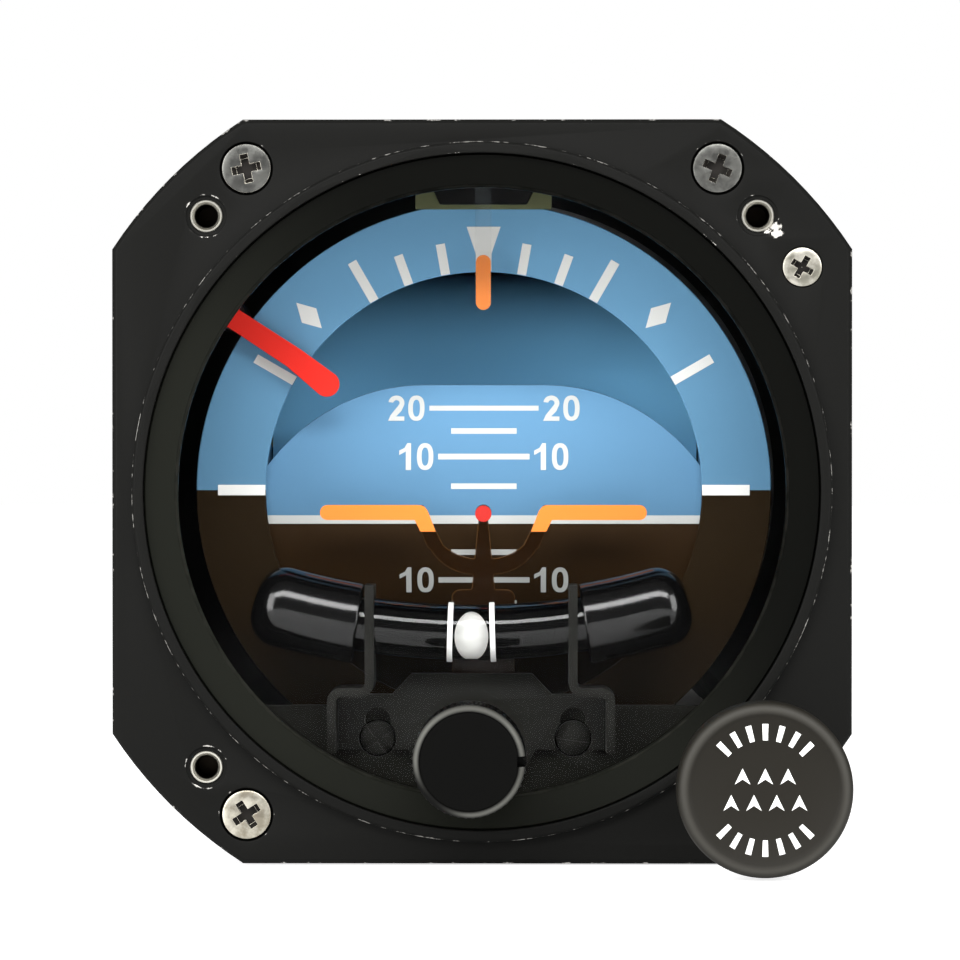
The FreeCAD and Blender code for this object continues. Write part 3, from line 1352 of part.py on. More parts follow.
def make_gyro_rotor():
    edge = ROTOR_EDGE
    return lathe_z([
        (ROTOR_LOW_Z, ROTOR_BORE_R), (ROTOR_LOW_Z, ROTOR_R - edge), (ROTOR_LOW_Z + edge, ROTOR_R),
        (ROTOR_TOP_Z - edge, ROTOR_R), (ROTOR_TOP_Z, ROTOR_R - edge), (ROTOR_TOP_Z, ROTOR_SHAFT_R),
        (ROTOR_WEB_Z, ROTOR_SHAFT_R), (ROTOR_WEB_Z, ROTOR_BORE_R),
    ])


def make_rotor_shaft():
    reach = HOUSING_Z - HOUSING_WALL - SWING
    return bar_z(ROTOR_SHAFT_R, -reach, reach)


# ---------------------------------------------------------------- rear of the case
def make_rear_bulkhead():
    """Bearing carrier: a web across the can, a hub tube and three posts for the board."""
    end_y = BEARING_END_Y
    web = disc(CASE_IN_R - GAP, BULKHEAD_Y, BULKHEAD_Y + BULKHEAD_T)
    hub = disc(BULKHEAD_HUB_R, BULKHEAD_Y, end_y)
    posts = []
    for number in range(POST_COUNT):
        x, z = polar(POST_CIRCLE_R, 30 + 360 * number / POST_COUNT)
        posts.append(disc(POST_R, BULKHEAD_Y, BOARD_Y, x, z))
    body = joined(web, hub, *posts)
    relief_r = (ROLL_BEARING_R + BULKHEAD_HUB_R) / 2
    front_end = BULKHEAD_Y + ROLL_BEARING_T
    holes = [
        disc(ROLL_BEARING_R, BULKHEAD_Y, end_y),
        disc(relief_r, front_end, REAR_BEARING_Y),
        brush_pocket(),
    ]
    for number in range(POST_COUNT):
        x, z = polar((BULKHEAD_HUB_R + CASE_IN_R) / 2, 90 + 360 * number / POST_COUNT)
        holes.append(disc(BULKHEAD_HOLE_R, BULKHEAD_Y, BULKHEAD_Y + BULKHEAD_T, x, z))
    return without(body, *holes)


def brush_pocket():
    """Window in the hub tube that the brush block fills."""
    half = BRUSH_BLOCK_W / 2
    return block(-half, half, BRUSH_Y, BRUSH_Y + BRUSH_LEN, BRUSH_DRUM_R, BULKHEAD_HUB_R + BULKHEAD_T)


def make_roll_bearings():
    starts = (BULKHEAD_Y, REAR_BEARING_Y)
    return [tube(ROLL_BEARING_R, SPINDLE_R + SLIP, y, y + ROLL_BEARING_T) for y in starts]


def make_brush_block():
    """Block that fills the hub tube's window, with one brush in each track of the slip rings."""
    half = BRUSH_BLOCK_W / 2
    low = (BRUSH_DRUM_R + ROLL_BEARING_R) / 2 + GAP
    high = BULKHEAD_HUB_R + BULKHEAD_T / 2
    body = block(-half, half, BRUSH_Y, BRUSH_Y + BRUSH_LEN, low, high)
    step = BRUSH_LEN / (2 * BRUSH_RINGS + 1)
    brushes = []
    for number in range(BRUSH_RINGS):
        y = BRUSH_Y + (2 * number + 1) * step
        z0 = BRUSH_DRUM_R - BRUSH_GROOVE + 2 * SLIP
        brushes.append(block(-BRUSH_W / 2, BRUSH_W / 2, y + step / 4, y + 3 * step / 4, z0, low + GAP))
    return joined(body, *brushes)


def make_circuit_board():
    """Drive electronics on a round board, with its larger parts."""
    board = disc(BOARD_R, BOARD_Y, BOARD_Y + BOARD_T)
    top = BOARD_Y + BOARD_T
    parts = []
    for x, z, width, height, depth in BOARD_BLOCKS:
        parts.append(block(x - width / 2, x + width / 2, top, top + depth, z - height / 2, z + height / 2))
    for x, z, radius, length in BOARD_CANS:
        parts.append(disc(radius, top, top + length, x, z))
    return joined(board, *parts)


# ---------------------------------------------------------------- export
PIECES = {
    "bezel": make_bezel,
    "case_body": make_case_body,
    "rear_cover": make_rear_cover,
    "rear_cover_screws": make_rear_cover_screws,
    "front_glass": make_front_glass,
    "glass_gasket": make_glass_gasket,
    "glass_retaining_ring": make_glass_retaining_ring,
    "bezel_screws": make_bezel_screws,
    "small_bezel_screw": make_small_bezel_screw,
    "mounting_inserts": make_mounting_inserts,
    "pull_knob_bushing": make_pull_knob_bushing,
    "pitch_knob_bushing": make_pitch_knob_bushing,
    "dial_frame": make_dial_frame,
    "lower_mask_plate": make_lower_mask_plate,
    "inclinometer_bracket": make_inclinometer_bracket,
    "mask_screws": make_mask_screws,
    "inclinometer_tube": make_inclinometer_tube,
    "inclinometer_end_caps": make_inclinometer_end_caps,
    "index_wires": make_index_wires,
    "inclinometer_ball": make_inclinometer_ball,
    "roll_pointer": make_roll_pointer,
    "pointer_block": make_pointer_block,
    "lamp_board": make_lamp_board,
    "flag_actuator": make_flag_actuator,
    "warning_flag": make_warning_flag,
    "pull_knob": make_pull_knob,
    "pull_rod": make_pull_rod,
    "return_spring": make_return_spring,
    "caging_arm": make_caging_arm,
    "pitch_knob": make_pitch_knob,
    "pitch_knob_shaft": make_pitch_knob_shaft,
    "pitch_pinion": make_pitch_pinion,
    "airplane_symbol": make_airplane_symbol,
    "airplane_rack": make_airplane_rack,
    "roll_dial_ring": make_roll_dial_ring,
    "roll_cage_crown": make_roll_cage_crown,
    "roll_yoke": make_roll_yoke,
    "drum_stub_shafts": make_drum_stub_shafts,
    "pitch_bearings": make_pitch_bearings,
    "sky_backdrop": make_sky_backdrop,
    "roll_spindle": make_roll_spindle,
    "slip_ring_drum": make_slip_ring_drum,
    "roll_balance_weights": make_roll_balance_weights,
    "pitch_drum": make_pitch_drum,
    "drum_gear": make_drum_gear,
    "drum_counterweight": make_drum_counterweight,
    "rotor_housing_lower": make_rotor_housing_lower,
    "rotor_housing_upper": make_rotor_housing_upper,
    "gimbal_pivots": make_gimbal_pivots,
    "gimbal_gear_sector": make_gimbal_gear_sector,
    "motor_stator": make_motor_stator,
    "spin_bearings": make_spin_bearings,
    "gyro_rotor": make_gyro_rotor,
    "rotor_shaft": make_rotor_shaft,
    "rear_bulkhead": make_rear_bulkhead,
    "roll_bearings": make_roll_bearings,
    "brush_block": make_brush_block,
    "circuit_board": make_circuit_board,
    "connector_shell": make_connector_shell,
    "connector_insert": make_connector_insert,
}

os.makedirs("parts", exist_ok=True)
for name, make in PIECES.items():
    made = make()
    solids = made if isinstance(made, list) else [made]
    shape = solids[0] if len(solids) == 1 else Part.makeCompound(solids)
    shape.exportStep("parts/" + name + ".step")
    print(name, len(shape.Solids), "solids", round(shape.Volume, 1), "mm3")
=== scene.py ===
# %% [markdown]
# # A panel attitude indicator, dressed around its CAD frame
# The instrument tells a pilot how the aircraft is banked and pitched. The CAD model brings every
# solid part at its real place. Here the parts that the eye meets are modelled again with softer
# edges, printed marks and real finishes, and the rest of the CAD parts get a material each.

# %% Load the frame and keep its size
import math

import bpy
from mathutils import Matrix, Vector


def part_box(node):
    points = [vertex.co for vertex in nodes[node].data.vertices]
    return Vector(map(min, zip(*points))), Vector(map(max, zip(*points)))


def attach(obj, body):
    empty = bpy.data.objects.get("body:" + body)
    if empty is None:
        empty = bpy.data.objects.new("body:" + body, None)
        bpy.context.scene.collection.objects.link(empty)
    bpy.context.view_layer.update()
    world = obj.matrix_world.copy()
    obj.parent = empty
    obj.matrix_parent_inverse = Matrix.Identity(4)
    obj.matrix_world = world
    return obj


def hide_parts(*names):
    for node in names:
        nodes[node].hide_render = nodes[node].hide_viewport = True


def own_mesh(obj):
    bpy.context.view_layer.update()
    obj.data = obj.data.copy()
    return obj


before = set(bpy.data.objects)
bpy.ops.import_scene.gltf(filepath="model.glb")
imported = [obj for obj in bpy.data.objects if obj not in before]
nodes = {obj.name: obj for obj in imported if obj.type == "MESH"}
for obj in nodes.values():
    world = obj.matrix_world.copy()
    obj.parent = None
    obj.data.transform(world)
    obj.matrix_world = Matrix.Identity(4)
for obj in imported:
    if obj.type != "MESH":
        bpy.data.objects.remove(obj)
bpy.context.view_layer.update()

# %% [markdown]
# ## Units
# Blender works in metres and an instrument maker in millimetres. Every place below is written in
# millimetres and scaled once, by `mm`, so the numbers can be compared with a drawing.

# %% Millimetres and the main places
MM = 0.001


def mm(*values):
    """Millimetres to metres, as one number or as a vector."""
    scaled = [value * MM for value in values]
    return scaled[0] if len(scaled) == 1 else Vector(scaled)


def low_high(node):
    """Lowest and highest corner of a CAD node, in millimetres."""
    low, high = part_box(node)
    return low / MM, high / MM


LIP_PROUD = 1.2
bezel_low = low_high("bezel")[0]
plate_front = bezel_low.y + LIP_PROUD
ring_low, ring_high = low_high("roll_dial_ring")
dial_face = ring_low.y
drum_axis = 40.1
print("bezel front face at", round(plate_front, 2), "and dial face at", round(dial_face, 2))

# %% [markdown]
# ## Selecting by hand, in code
# Every operator acts on what is selected, and the imported CAD parts arrive selected. So each step
# starts from a clean selection, and each new piece is made the only active object.


# %% Selection helpers
def select_only(*pieces):
    if bpy.context.mode != "OBJECT":
        bpy.ops.object.mode_set(mode="OBJECT")
    bpy.ops.object.select_all(action="DESELECT")
    for piece in pieces:
        piece.select_set(True)
    if pieces:
        bpy.context.view_layer.objects.active = pieces[0]


def finish_mesh(piece, name):
    """Merge doubles, point the faces outwards and leave edit mode."""
    bpy.ops.mesh.select_all(action="SELECT")
    bpy.ops.mesh.remove_doubles(threshold=mm(0.002))
    bpy.ops.mesh.normals_make_consistent(inside=False)
    bpy.ops.object.mode_set(mode="OBJECT")
    piece.name = name
    piece.data.name = name
    return piece


def apply_modifier(piece, kind, **settings):
    select_only(piece)
    modifier = piece.modifiers.new(kind.lower(), kind)
    for key, value in settings.items():
        setattr(modifier, key, value)
    bpy.ops.object.modifier_apply(modifier=modifier.name)


# %% [markdown]
# ## Camera
# The instrument is seen almost square on, from a little above and to the right of its centre, by a
# long lens half a metre away, so its round parts stay round.

# %% Set up the camera
EYE = mm(6.6, -557.8, 5.9)
AIM = mm(-0.2, -7.8, 1.34)
bpy.ops.object.camera_add(location=EYE)
camera = bpy.context.object
camera.rotation_euler = (AIM - EYE).to_track_quat("-Z", "Y").to_euler()
camera.data.lens = 181.0
camera.data.sensor_width = 36.0
camera.data.clip_start = 0.01
bpy.context.scene.camera = camera
bpy.context.scene.view_settings.view_transform = "Standard"
print("camera at", [round(c, 3) for c in EYE])

# %% [markdown]
# ## Light and ground
# A black object shows its form best in a white tent: two large soft boxes at the sides, one
# above, and white behind. The tent is the world here. It is plain white to the camera and a weaker
# light for everything else. Reflections see a dim room, so that black enamel stays black and only
# the soft boxes draw highlights.


# %% Soft boxes
def soft_box(name, place, target, width, height, watts):
    bpy.ops.object.light_add(type="AREA", location=place)
    lamp = bpy.context.object
    lamp.name = name
    lamp.data.shape = "RECTANGLE"
    lamp.data.size = width
    lamp.data.size_y = height
    lamp.data.energy = watts
    lamp.rotation_euler = (target - place).to_track_quat("-Z", "Y").to_euler()
    return lamp


MIDDLE = mm(0, 0, 0)
soft_box("left_box", mm(-520, -420, 160), MIDDLE, 0.35, 0.6, 5.0)
soft_box("right_box", mm(560, -380, 120), MIDDLE, 0.3, 0.6, 3.6)
soft_box("top_box", mm(0, -500, 440), MIDDLE, 0.8, 0.18, 5.8)

# %% White tent
world = bpy.data.worlds.new("white_tent")
bpy.context.scene.world = world
world.use_nodes = True
sky_nodes = world.node_tree.nodes
sky_links = world.node_tree.links
sky_nodes.clear()
rays = sky_nodes.new("ShaderNodeLightPath")


def white_light(strength):
    """The tent's white at one strength."""
    made = sky_nodes.new("ShaderNodeBackground")
    made.inputs["Color"].default_value = (1.0, 1.0, 1.0, 1.0)
    made.inputs["Strength"].default_value = strength
    return made


def pick_by_ray(ray, otherwise, chosen):
    """One light for a kind of ray, and another for the rest."""
    made = sky_nodes.new("ShaderNodeMixShader")
    sky_links.new(rays.outputs[ray], made.inputs[0])
    sky_links.new(otherwise.outputs[0], made.inputs[1])
    sky_links.new(chosen.outputs[0], made.inputs[2])
    return made


FILL, DARK_ROOM, WHITE_WALL = 0.5, 0.14, 1.0
mirrored = pick_by_ray("Is Glossy Ray", white_light(FILL), white_light(DARK_ROOM))
seen = pick_by_ray("Is Camera Ray", mirrored, white_light(WHITE_WALL))
sky_links.new(seen.outputs[0], sky_nodes.new("ShaderNodeOutputWorld").inputs[0])
print("tent nodes:", len(sky_nodes))

# %% [markdown]
# ## Finishes
# A finish is one Principled material. Its plain values are set on the shader itself. Where a
# finish changes over the surface, a few nodes read the piece's own Object coordinates, so the
# pattern stays on the piece when it moves.


# %% A plain finish, and a helper that mixes patterns into it
def new_finish(name, colour, roughness=0.5, specular=0.5, metallic=0.0, **more):
    """A Principled material. Any other socket is given by its name, with _ for a space."""
    material = bpy.data.materials.new(name)
    material.use_nodes = True
    sockets = material.node_tree.nodes["Principled BSDF"].inputs
    sockets["Base Color"].default_value = (*colour, 1.0)
    sockets["Roughness"].default_value = roughness
    sockets["Specular IOR Level"].default_value = specular
    sockets["Metallic"].default_value = metallic
    for socket, value in more.items():
        sockets[socket.replace("_", " ")].default_value = value
    return material


class Mix:
    """Adds nodes to a finish, with short names for the few that are needed."""

    def __init__(self, material):
        self.tree = material.node_tree
        self.shader = self.tree.nodes["Principled BSDF"]
        self.coords = self.node("ShaderNodeTexCoord").outputs["Object"]
        split = self.node("ShaderNodeSeparateXYZ")
        self.link(self.coords, split.inputs[0])
        self.x, self.y, self.z = split.outputs

    def node(self, kind, **settings):
        made = self.tree.nodes.new(kind)
        for key, value in settings.items():
            setattr(made, key, value)
        return made

    def link(self, source, target):
        self.tree.links.new(source, target)

    def feed(self, socket, value):
        if isinstance(value, (int, float)):
            socket.default_value = value
        else:
            self.link(value, socket)

    def math(self, operation, first, second=0.0):
        made = self.node("ShaderNodeMath", operation=operation)
        self.feed(made.inputs[0], first)
        self.feed(made.inputs[1], second)
        return made.outputs[0]

    def times(self, first, second):
        return self.math("MULTIPLY", first, second)

    def plus(self, first, second):
        return self.math("ADD", first, second)

    def larger(self, first, second):
        return self.math("MAXIMUM", first, second)

    def noise(self, per_mm, detail=2.0, rough=0.5):
        """Cloudy pattern with so many grains in a millimetre."""
        made = self.node("ShaderNodeTexNoise")
        made.inputs["Scale"].default_value = per_mm / MM
        made.inputs["Detail"].default_value = detail
        made.inputs["Roughness"].default_value = rough
        self.link(self.coords, made.inputs["Vector"])
        return made.outputs[0]

    def step(self, value, start, end):
        """0 below start and 1 above end, smooth in between; start may lie above end."""
        made = self.node("ShaderNodeMapRange", interpolation_type="SMOOTHSTEP", clamp=True)
        self.link(value, made.inputs["Value"])
        made.inputs["From Min"].default_value = min(start, end)
        made.inputs["From Max"].default_value = max(start, end)
        made.inputs["To Min"].default_value = 0.0 if start < end else 1.0
        made.inputs["To Max"].default_value = 1.0 if start < end else 0.0
        return made.outputs[0]

    def radius(self, x_mm=0.0, z_mm=0.0):
        """Distance from a line along Y."""
        dx = self.math("SUBTRACT", self.x, x_mm * MM)
        dz = self.math("SUBTRACT", self.z, z_mm * MM)
        squares = self.plus(self.times(dx, dx), self.times(dz, dz))
        return self.math("SQRT", squares)

    def blend(self, share, first, second):
        """Colour between two colours or sockets."""
        made = self.node("ShaderNodeMix", data_type="RGBA")
        self.feed(made.inputs["Factor"], share)
        for socket, value in ((made.inputs[6], first), (made.inputs[7], second)):
            if isinstance(value, tuple):
                socket.default_value = (*value, 1.0)
            else:
                self.link(value, socket)
        return made.outputs[2]

    def colour(self, value):
        self.link(value, self.shader.inputs["Base Color"])

    def bumps(self, height, strength, distance_mm):
        made = self.node("ShaderNodeBump")
        made.inputs["Strength"].default_value = strength
        made.inputs["Distance"].default_value = distance_mm * MM
        self.link(height, made.inputs["Height"])
        self.link(made.outputs[0], self.shader.inputs["Normal"])


# %% [markdown]
# ## Floor
# The instrument rests on its flange over a pale table. The table is white to the camera, and it
# still takes a soft shadow under the flange.

# %% Make the floor
bpy.ops.object.select_all(action="DESELECT")
bpy.ops.mesh.primitive_plane_add(size=6.0, location=(0.0, 0.0, bezel_low.z * MM - 0.0002))
floor = bpy.context.object
bpy.ops.object.transform_apply(location=True, rotation=False, scale=False)
floor.name = "pale_floor"
table = new_finish("pale_table", (0.86, 0.86, 0.86), 0.7, 0.2)
mix = Mix(table)
lit_rays = mix.node("ShaderNodeLightPath")
glow = mix.node("ShaderNodeEmission")
glow.inputs["Color"].default_value = (1.0, 1.0, 1.0, 1.0)
glow.inputs["Strength"].default_value = 0.75
both = mix.node("ShaderNodeAddShader")
pick = mix.node("ShaderNodeMixShader")
table_out = table.node_tree.nodes["Material Output"]
mix.link(mix.shader.outputs[0], both.inputs[0])
mix.link(glow.outputs[0], both.inputs[1])
mix.link(lit_rays.outputs["Is Camera Ray"], pick.inputs[0])
mix.link(mix.shader.outputs[0], pick.inputs[1])
mix.link(both.outputs[0], pick.inputs[2])
mix.link(pick.outputs[0], table_out.inputs["Surface"])
floor.data.materials.append(table)
print("floor at", round(bezel_low.z, 2))

# %% [markdown]
# ## Turned and stamped shapes
# Most of an instrument is turned on a lathe or cut from sheet. For a turned piece one vertex is
# extruded along the profile and the wire is spun round the axis. For a flat piece the vertex runs
# round the outline, the outline is filled, and the face is extruded to its thickness.


# %% Modelling helpers
def wire(points):
    """A chain of vertices, left in edit mode with everything selected."""
    select_only()
    bpy.ops.mesh.primitive_plane_add(size=1.0)
    piece = bpy.context.object
    bpy.ops.object.mode_set(mode="EDIT")
    bpy.ops.mesh.select_all(action="SELECT")
    bpy.ops.mesh.merge(type="CENTER")
    bpy.ops.transform.translate(value=points[0])
    for here, after in zip(points, points[1:]):
        bpy.ops.mesh.extrude_region_move(TRANSFORM_OT_translate={"value": after - here})
    bpy.ops.mesh.select_all(action="SELECT")
    return piece


def turned(name, profile, x=0.0, z=0.0, steps=96, smooth=35.0):
    """Spin a closed (y, radius) profile about an axis along Y."""
    piece = wire([mm(x + radius, y, z) for y, radius in profile + profile[:1]])
    bpy.ops.mesh.spin(steps=steps, angle=math.tau, center=mm(x, 0, z), axis=(0, 1, 0))
    return smoothed(finish_mesh(piece, name), smooth)


def smoothed(piece, degrees=35.0):
    select_only(piece)
    bpy.ops.object.shade_smooth_by_angle(angle=math.radians(degrees))
    return piece


def filled(points):
    """One face inside a closed chain of points, left selected in edit mode."""
    piece = wire(points)
    bpy.ops.mesh.remove_doubles(threshold=mm(0.002))
    bpy.ops.mesh.select_all(action="SELECT")
    bpy.ops.mesh.edge_face_add()
    return piece


def flat_piece(name, outline, y_front, y_rear):
    """Fill an (x, z) outline and extrude it from y_front to y_rear."""
    piece = filled([mm(x, y_front, z) for x, z in outline + outline[:1]])
    bpy.ops.mesh.extrude_region_move(TRANSFORM_OT_translate={"value": mm(0, y_rear - y_front, 0)})
    return finish_mesh(piece, name)


def arc(centre_x, centre_z, radius, start, end, steps):
    """Points (x, z) along an arc, angles in degrees from +X towards +Z."""
    turns = [math.radians(start + (end - start) * n / steps) for n in range(steps + 1)]
    return [(centre_x + radius * math.cos(t), centre_z + radius * math.sin(t)) for t in turns]


def boolean(piece, cutter, operation="DIFFERENCE"):
    """Cut a piece with another, which is used up."""
    apply_modifier(piece, "BOOLEAN", object=cutter, operation=operation, solver="EXACT")
    bpy.data.objects.remove(cutter)
    return piece


def settled(name):
    """Name the primitive that was just added, with its place and size in its mesh."""
    piece = bpy.context.object
    bpy.ops.object.transform_apply(location=True, rotation=True, scale=True)
    piece.name = name
    return piece


def rod(name, radius, y_front, y_rear, x=0.0, z=0.0, sides=48):
    select_only()
    depth = y_rear - y_front
    centre = mm(x, (y_front + y_rear) / 2, z)
    bpy.ops.mesh.primitive_cylinder_add(
        vertices=sides, radius=mm(radius), depth=mm(depth), location=centre, rotation=(math.pi / 2, 0, 0))
    return settled(name)


def box_piece(name, x0, x1, y0, y1, z0, z1):
    select_only()
    centre = mm((x0 + x1) / 2, (y0 + y1) / 2, (z0 + z1) / 2)
    bpy.ops.mesh.primitive_cube_add(size=1.0, location=centre, scale=mm(x1 - x0, y1 - y0, z1 - z0))
    return settled(name)


SHARP_DEGREES = 40.0


def soften(piece, width, segments=2, smooth=35.0, material=-1):
    """Round the sharp edges a little, as a real edge catches the light."""
    apply_modifier(
        piece, "BEVEL", width=mm(width), segments=segments, limit_method="ANGLE", material=material,
        angle_limit=math.radians(SHARP_DEGREES), miter_outer="MITER_ARC", use_clamp_overlap=True)
    return smoothed(piece, smooth)


def swing(piece, degrees, x=0.0, z=0.0):
    """Turn a piece about a line along Y, from +X towards +Z."""
    pivot = Matrix.Translation(mm(x, 0, z))
    piece.data.transform(pivot @ Matrix.Rotation(-math.radians(degrees), 4, "Y") @ pivot.inverted())
    return piece


def tip(piece, degrees, y, z=0.0):
    """Turn a piece about a line along X; a positive angle drops its front."""
    pivot = Matrix.Translation(mm(0, y, z))
    piece.data.transform(pivot @ Matrix.Rotation(math.radians(degrees), 4, "X") @ pivot.inverted())
    return piece


def slid(piece, x=0.0, y=0.0, z=0.0):
    piece.data.transform(Matrix.Translation(mm(x, y, z)))
    return piece


def copy_of(piece, name):
    """A copy with its own mesh."""
    select_only(piece)
    bpy.ops.object.duplicate()
    twin = bpy.context.object
    twin.name = name
    twin.data.name = name
    return twin


def joined(name, *pieces):
    select_only(*pieces)
    bpy.ops.object.join()
    whole = bpy.context.object
    whole.name = name
    whole.data.name = name
    return whole


def from_cad(node, name, bevel=0.0, segments=2, smooth=35.0):
    """A merged copy of a CAD node, with clean flats and, if asked, softened edges."""
    source = nodes[node]
    select_only()
    twin = source.copy()
    twin.data = source.data.copy()
    for key in list(twin.keys()):
        del twin[key]
    twin.parent = None
    bpy.context.scene.collection.objects.link(twin)
    select_only(twin)
    bpy.ops.object.mode_set(mode="EDIT")
    bpy.ops.mesh.select_all(action="SELECT")
    bpy.ops.mesh.remove_doubles(threshold=mm(0.001))
    bpy.ops.mesh.dissolve_limited(angle_limit=math.radians(0.3))
    bpy.ops.object.mode_set(mode="OBJECT")
    twin.data.materials.clear()
    twin.name = name
    if bevel:
        return soften(twin, bevel, segments, smooth)
    return smoothed(twin, smooth)


def dress(piece, body, material, slot, *replaced):
    """Give a piece its finish and its body, hide the CAD nodes it stands for, and print its size in mm."""
    if material:
        piece.data.materials.clear()
        piece.data.materials.append(material)
    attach(piece, body)
    if replaced:
        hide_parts(*replaced)
    print(piece.name, "on", body, [round(side / MM, 1) for side in piece.dimensions])
    return piece


def round_place(node):
    """Axis x and z, radius, front and rear of a round CAD node, in millimetres."""
    low, high = low_high(node)
    return (low.x + high.x) / 2, (low.z + high.z) / 2, (high.x - low.x) / 2, low.y, high.y


# %% [markdown]
# ## Worn black enamel
# The bezel is an aluminium casting under matte black enamel. Years of panels and fingers have rubbed
# the paint off its sharp edges. The wear mask is high close to an edge, and a cloudy noise decides
# where the metal shows, so chips gather on the lip and the outline. The flats have a few specks and
# one scrape, beside the upper right insert.


# %% Enamel that chips on the bezel's edges
def edge_wear(mix, closeness, grain, low, high):
    """Chips where closeness plus noise passes a threshold."""
    clouds = mix.noise(grain, detail=5.0, rough=0.65)
    return mix.step(mix.plus(mix.times(closeness, 0.42), clouds), low, high)


def near(mix, value, target_mm, reach_mm):
    """1 at a target and 0 beyond its reach."""
    gap = mix.math("ABSOLUTE", mix.math("SUBTRACT", value, target_mm * MM))
    return mix.step(gap, reach_mm * MM, 0.0)


def show_metal(mix, wear, paint, metal, paint_rough=0.5, metal_rough=0.35):
    """Bare metal where wear is 1 and paint where it is 0."""
    mix.colour(mix.blend(wear, paint, metal))
    mix.link(mix.times(wear, 0.8), mix.shader.inputs["Metallic"])
    rough = mix.plus(mix.times(wear, metal_rough - paint_rough), paint_rough)
    mix.link(rough, mix.shader.inputs["Roughness"])


BLACK = (0.006, 0.006, 0.0055)
BARE_METAL = (0.62, 0.6, 0.56)
LIP_INNER_R, LIP_OUTER_R = 38.66, 39.85
EDGE_X, EDGE_Z, CORNER_R = 42.15, 42.4, 50.4
EDGE_REACH = 0.35
INSERT_AT = 31.43
SCREW_X, SCREW_Z = 26.85, 36.85
INSERT_COLLAR_R, SCREW_COLLAR_R = 2.42, 3.15
SCRAPE_X, SCRAPE_Z = 33.5, 29.7
enamel = new_finish("worn_black_enamel", BLACK, 0.5, 0.05)
mix = Mix(enamel)
around = mix.radius()
higher = mix.step(mix.z, mm(-60), mm(40))
inner_share = mix.plus(mix.times(higher, 0.55), 0.1)
inner_line = mix.times(near(mix, around, LIP_INNER_R, 0.12), inner_share)
lip = mix.larger(mix.times(near(mix, around, LIP_OUTER_R, 0.17), 0.85), inner_line)
on_lip = mix.times(lip, mix.step(mix.y, mm(plate_front - 0.5), mm(plate_front - 0.9)))
side = mix.step(mix.math("ABSOLUTE", mix.x), mm(EDGE_X - EDGE_REACH), mm(EDGE_X))
ends = mix.step(mix.math("ABSOLUTE", mix.z), mm(EDGE_Z - EDGE_REACH), mm(EDGE_Z))
corner = mix.step(around, mm(CORNER_R - EDGE_REACH), mm(CORNER_R))
outline = mix.times(mix.larger(mix.larger(side, ends), corner), 0.78)
at_front = mix.step(mix.y, mm(plate_front + 1.2), mm(plate_front + 0.2))
closeness = mix.larger(on_lip, mix.times(outline, at_front))
for across, along, collar_r, reach, share in (
        (INSERT_AT, INSERT_AT, INSERT_COLLAR_R, 0.3, 0.8), (SCREW_X, SCREW_Z, SCREW_COLLAR_R, 0.25, 0.6)):
    for x_sign, z_sign in ((-1, 1), (1, 1), (-1, -1)):
        from_hole = mix.radius(x_sign * across, z_sign * along)
        collar = mix.times(near(mix, from_hole, collar_r, reach), share)
        closeness = mix.larger(closeness, collar)
chips = edge_wear(mix, closeness, 0.75, 0.86, 0.95)
scrape = mix.step(mix.radius(SCRAPE_X, SCRAPE_Z), mm(2.4), mm(0.4))
scratches = edge_wear(mix, scrape, 1.3, 0.86, 0.9)
specks = mix.step(mix.noise(0.35, detail=6.0, rough=0.9), 0.79, 0.82)
show_metal(mix, mix.larger(mix.larger(chips, scratches), specks), BLACK, BARE_METAL)
mix.bumps(mix.noise(2.2, detail=3.0), 0.12, 0.08)
print("enamel nodes:", len(enamel.node_tree.nodes))

# %% [markdown]
# ## Bezel and case
# The bezel's solid already has the right outline, pockets and lip. A copy of its mesh is merged and
# its edges get a small bevel, because a casting never has a perfectly sharp edge and the thin bright
# line along it is what tells the eye that it is real. The case and its lid are made the same way.

# %% Dress the bezel and the case
dress(from_cad("bezel", "bezel_casting", bevel=0.18), "case", enamel, "bezel_paint", "bezel")
case_enamel = new_finish("case_enamel", (0.006, 0.006, 0.006), 0.45, 0.18)
mix = Mix(case_enamel)
mix.bumps(mix.noise(1.6, detail=3.0), 0.15, 0.1)
dress(from_cad("case_body", "case_shell", bevel=0.25), "case", case_enamel, "case_paint", "case_body")
lid = from_cad("rear_cover", "rear_lid", bevel=0.2)
apply_modifier(lid, "WEIGHTED_NORMAL", keep_sharp=True)
dress(lid, "case", case_enamel, "cover_paint", "rear_cover")

# %% [markdown]
# ## Window
# The glass is clamped against a gasket by a threaded ring. The ring is turned from the profile of
# its section, with a slope down to the dial. Its black is painted lighter at the lower left and
# darker at the upper right, as painted light and shade. The glass is coated, so it hardly reflects,
# and it lets the soft boxes light the dial.

# %% Retaining ring and glass
ring_paint = new_finish("ring_black", (0.003, 0.0032, 0.0022), 0.42, 0.05)
mix = Mix(ring_paint)
rim_wear = edge_wear(mix, near(mix, mix.radius(), 34.9, 0.35), 0.5, 0.75, 1.0)
# Painted light and shade: the ring's black is lighter towards the lower left and darker towards the upper
# right.
lower_left = mix.step(mix.plus(mix.x, mix.z), mm(25), mm(-25))
painted_light_black = mix.blend(lower_left, (0.0012, 0.0013, 0.0008), (0.0075, 0.008, 0.006))
show_metal(mix, mix.times(rim_wear, 0.02), painted_light_black, (0.3, 0.28, 0.24), 0.42, 0.4)
g_low, g_high = low_high("glass_retaining_ring")
RING_WIDTH = 3.8
inner = g_high.x - RING_WIDTH
ring = turned("window_ring", [
    (g_high.y, inner), (g_low.y + 0.95, inner), (g_low.y + 0.55, inner + 0.4),
    (g_low.y, g_high.x - 0.15), (g_low.y + 0.15, g_high.x), (g_high.y, g_high.x)], steps=160)
dress(ring, "case", ring_paint, "ring_paint", "glass_retaining_ring")

clear_glass = new_finish("coated_window", (0.0, 0.0, 0.0), 0.02, Alpha=0.04)
dress(from_cad("front_glass", "window_glass"), "case", clear_glass, "window_glass", "front_glass")
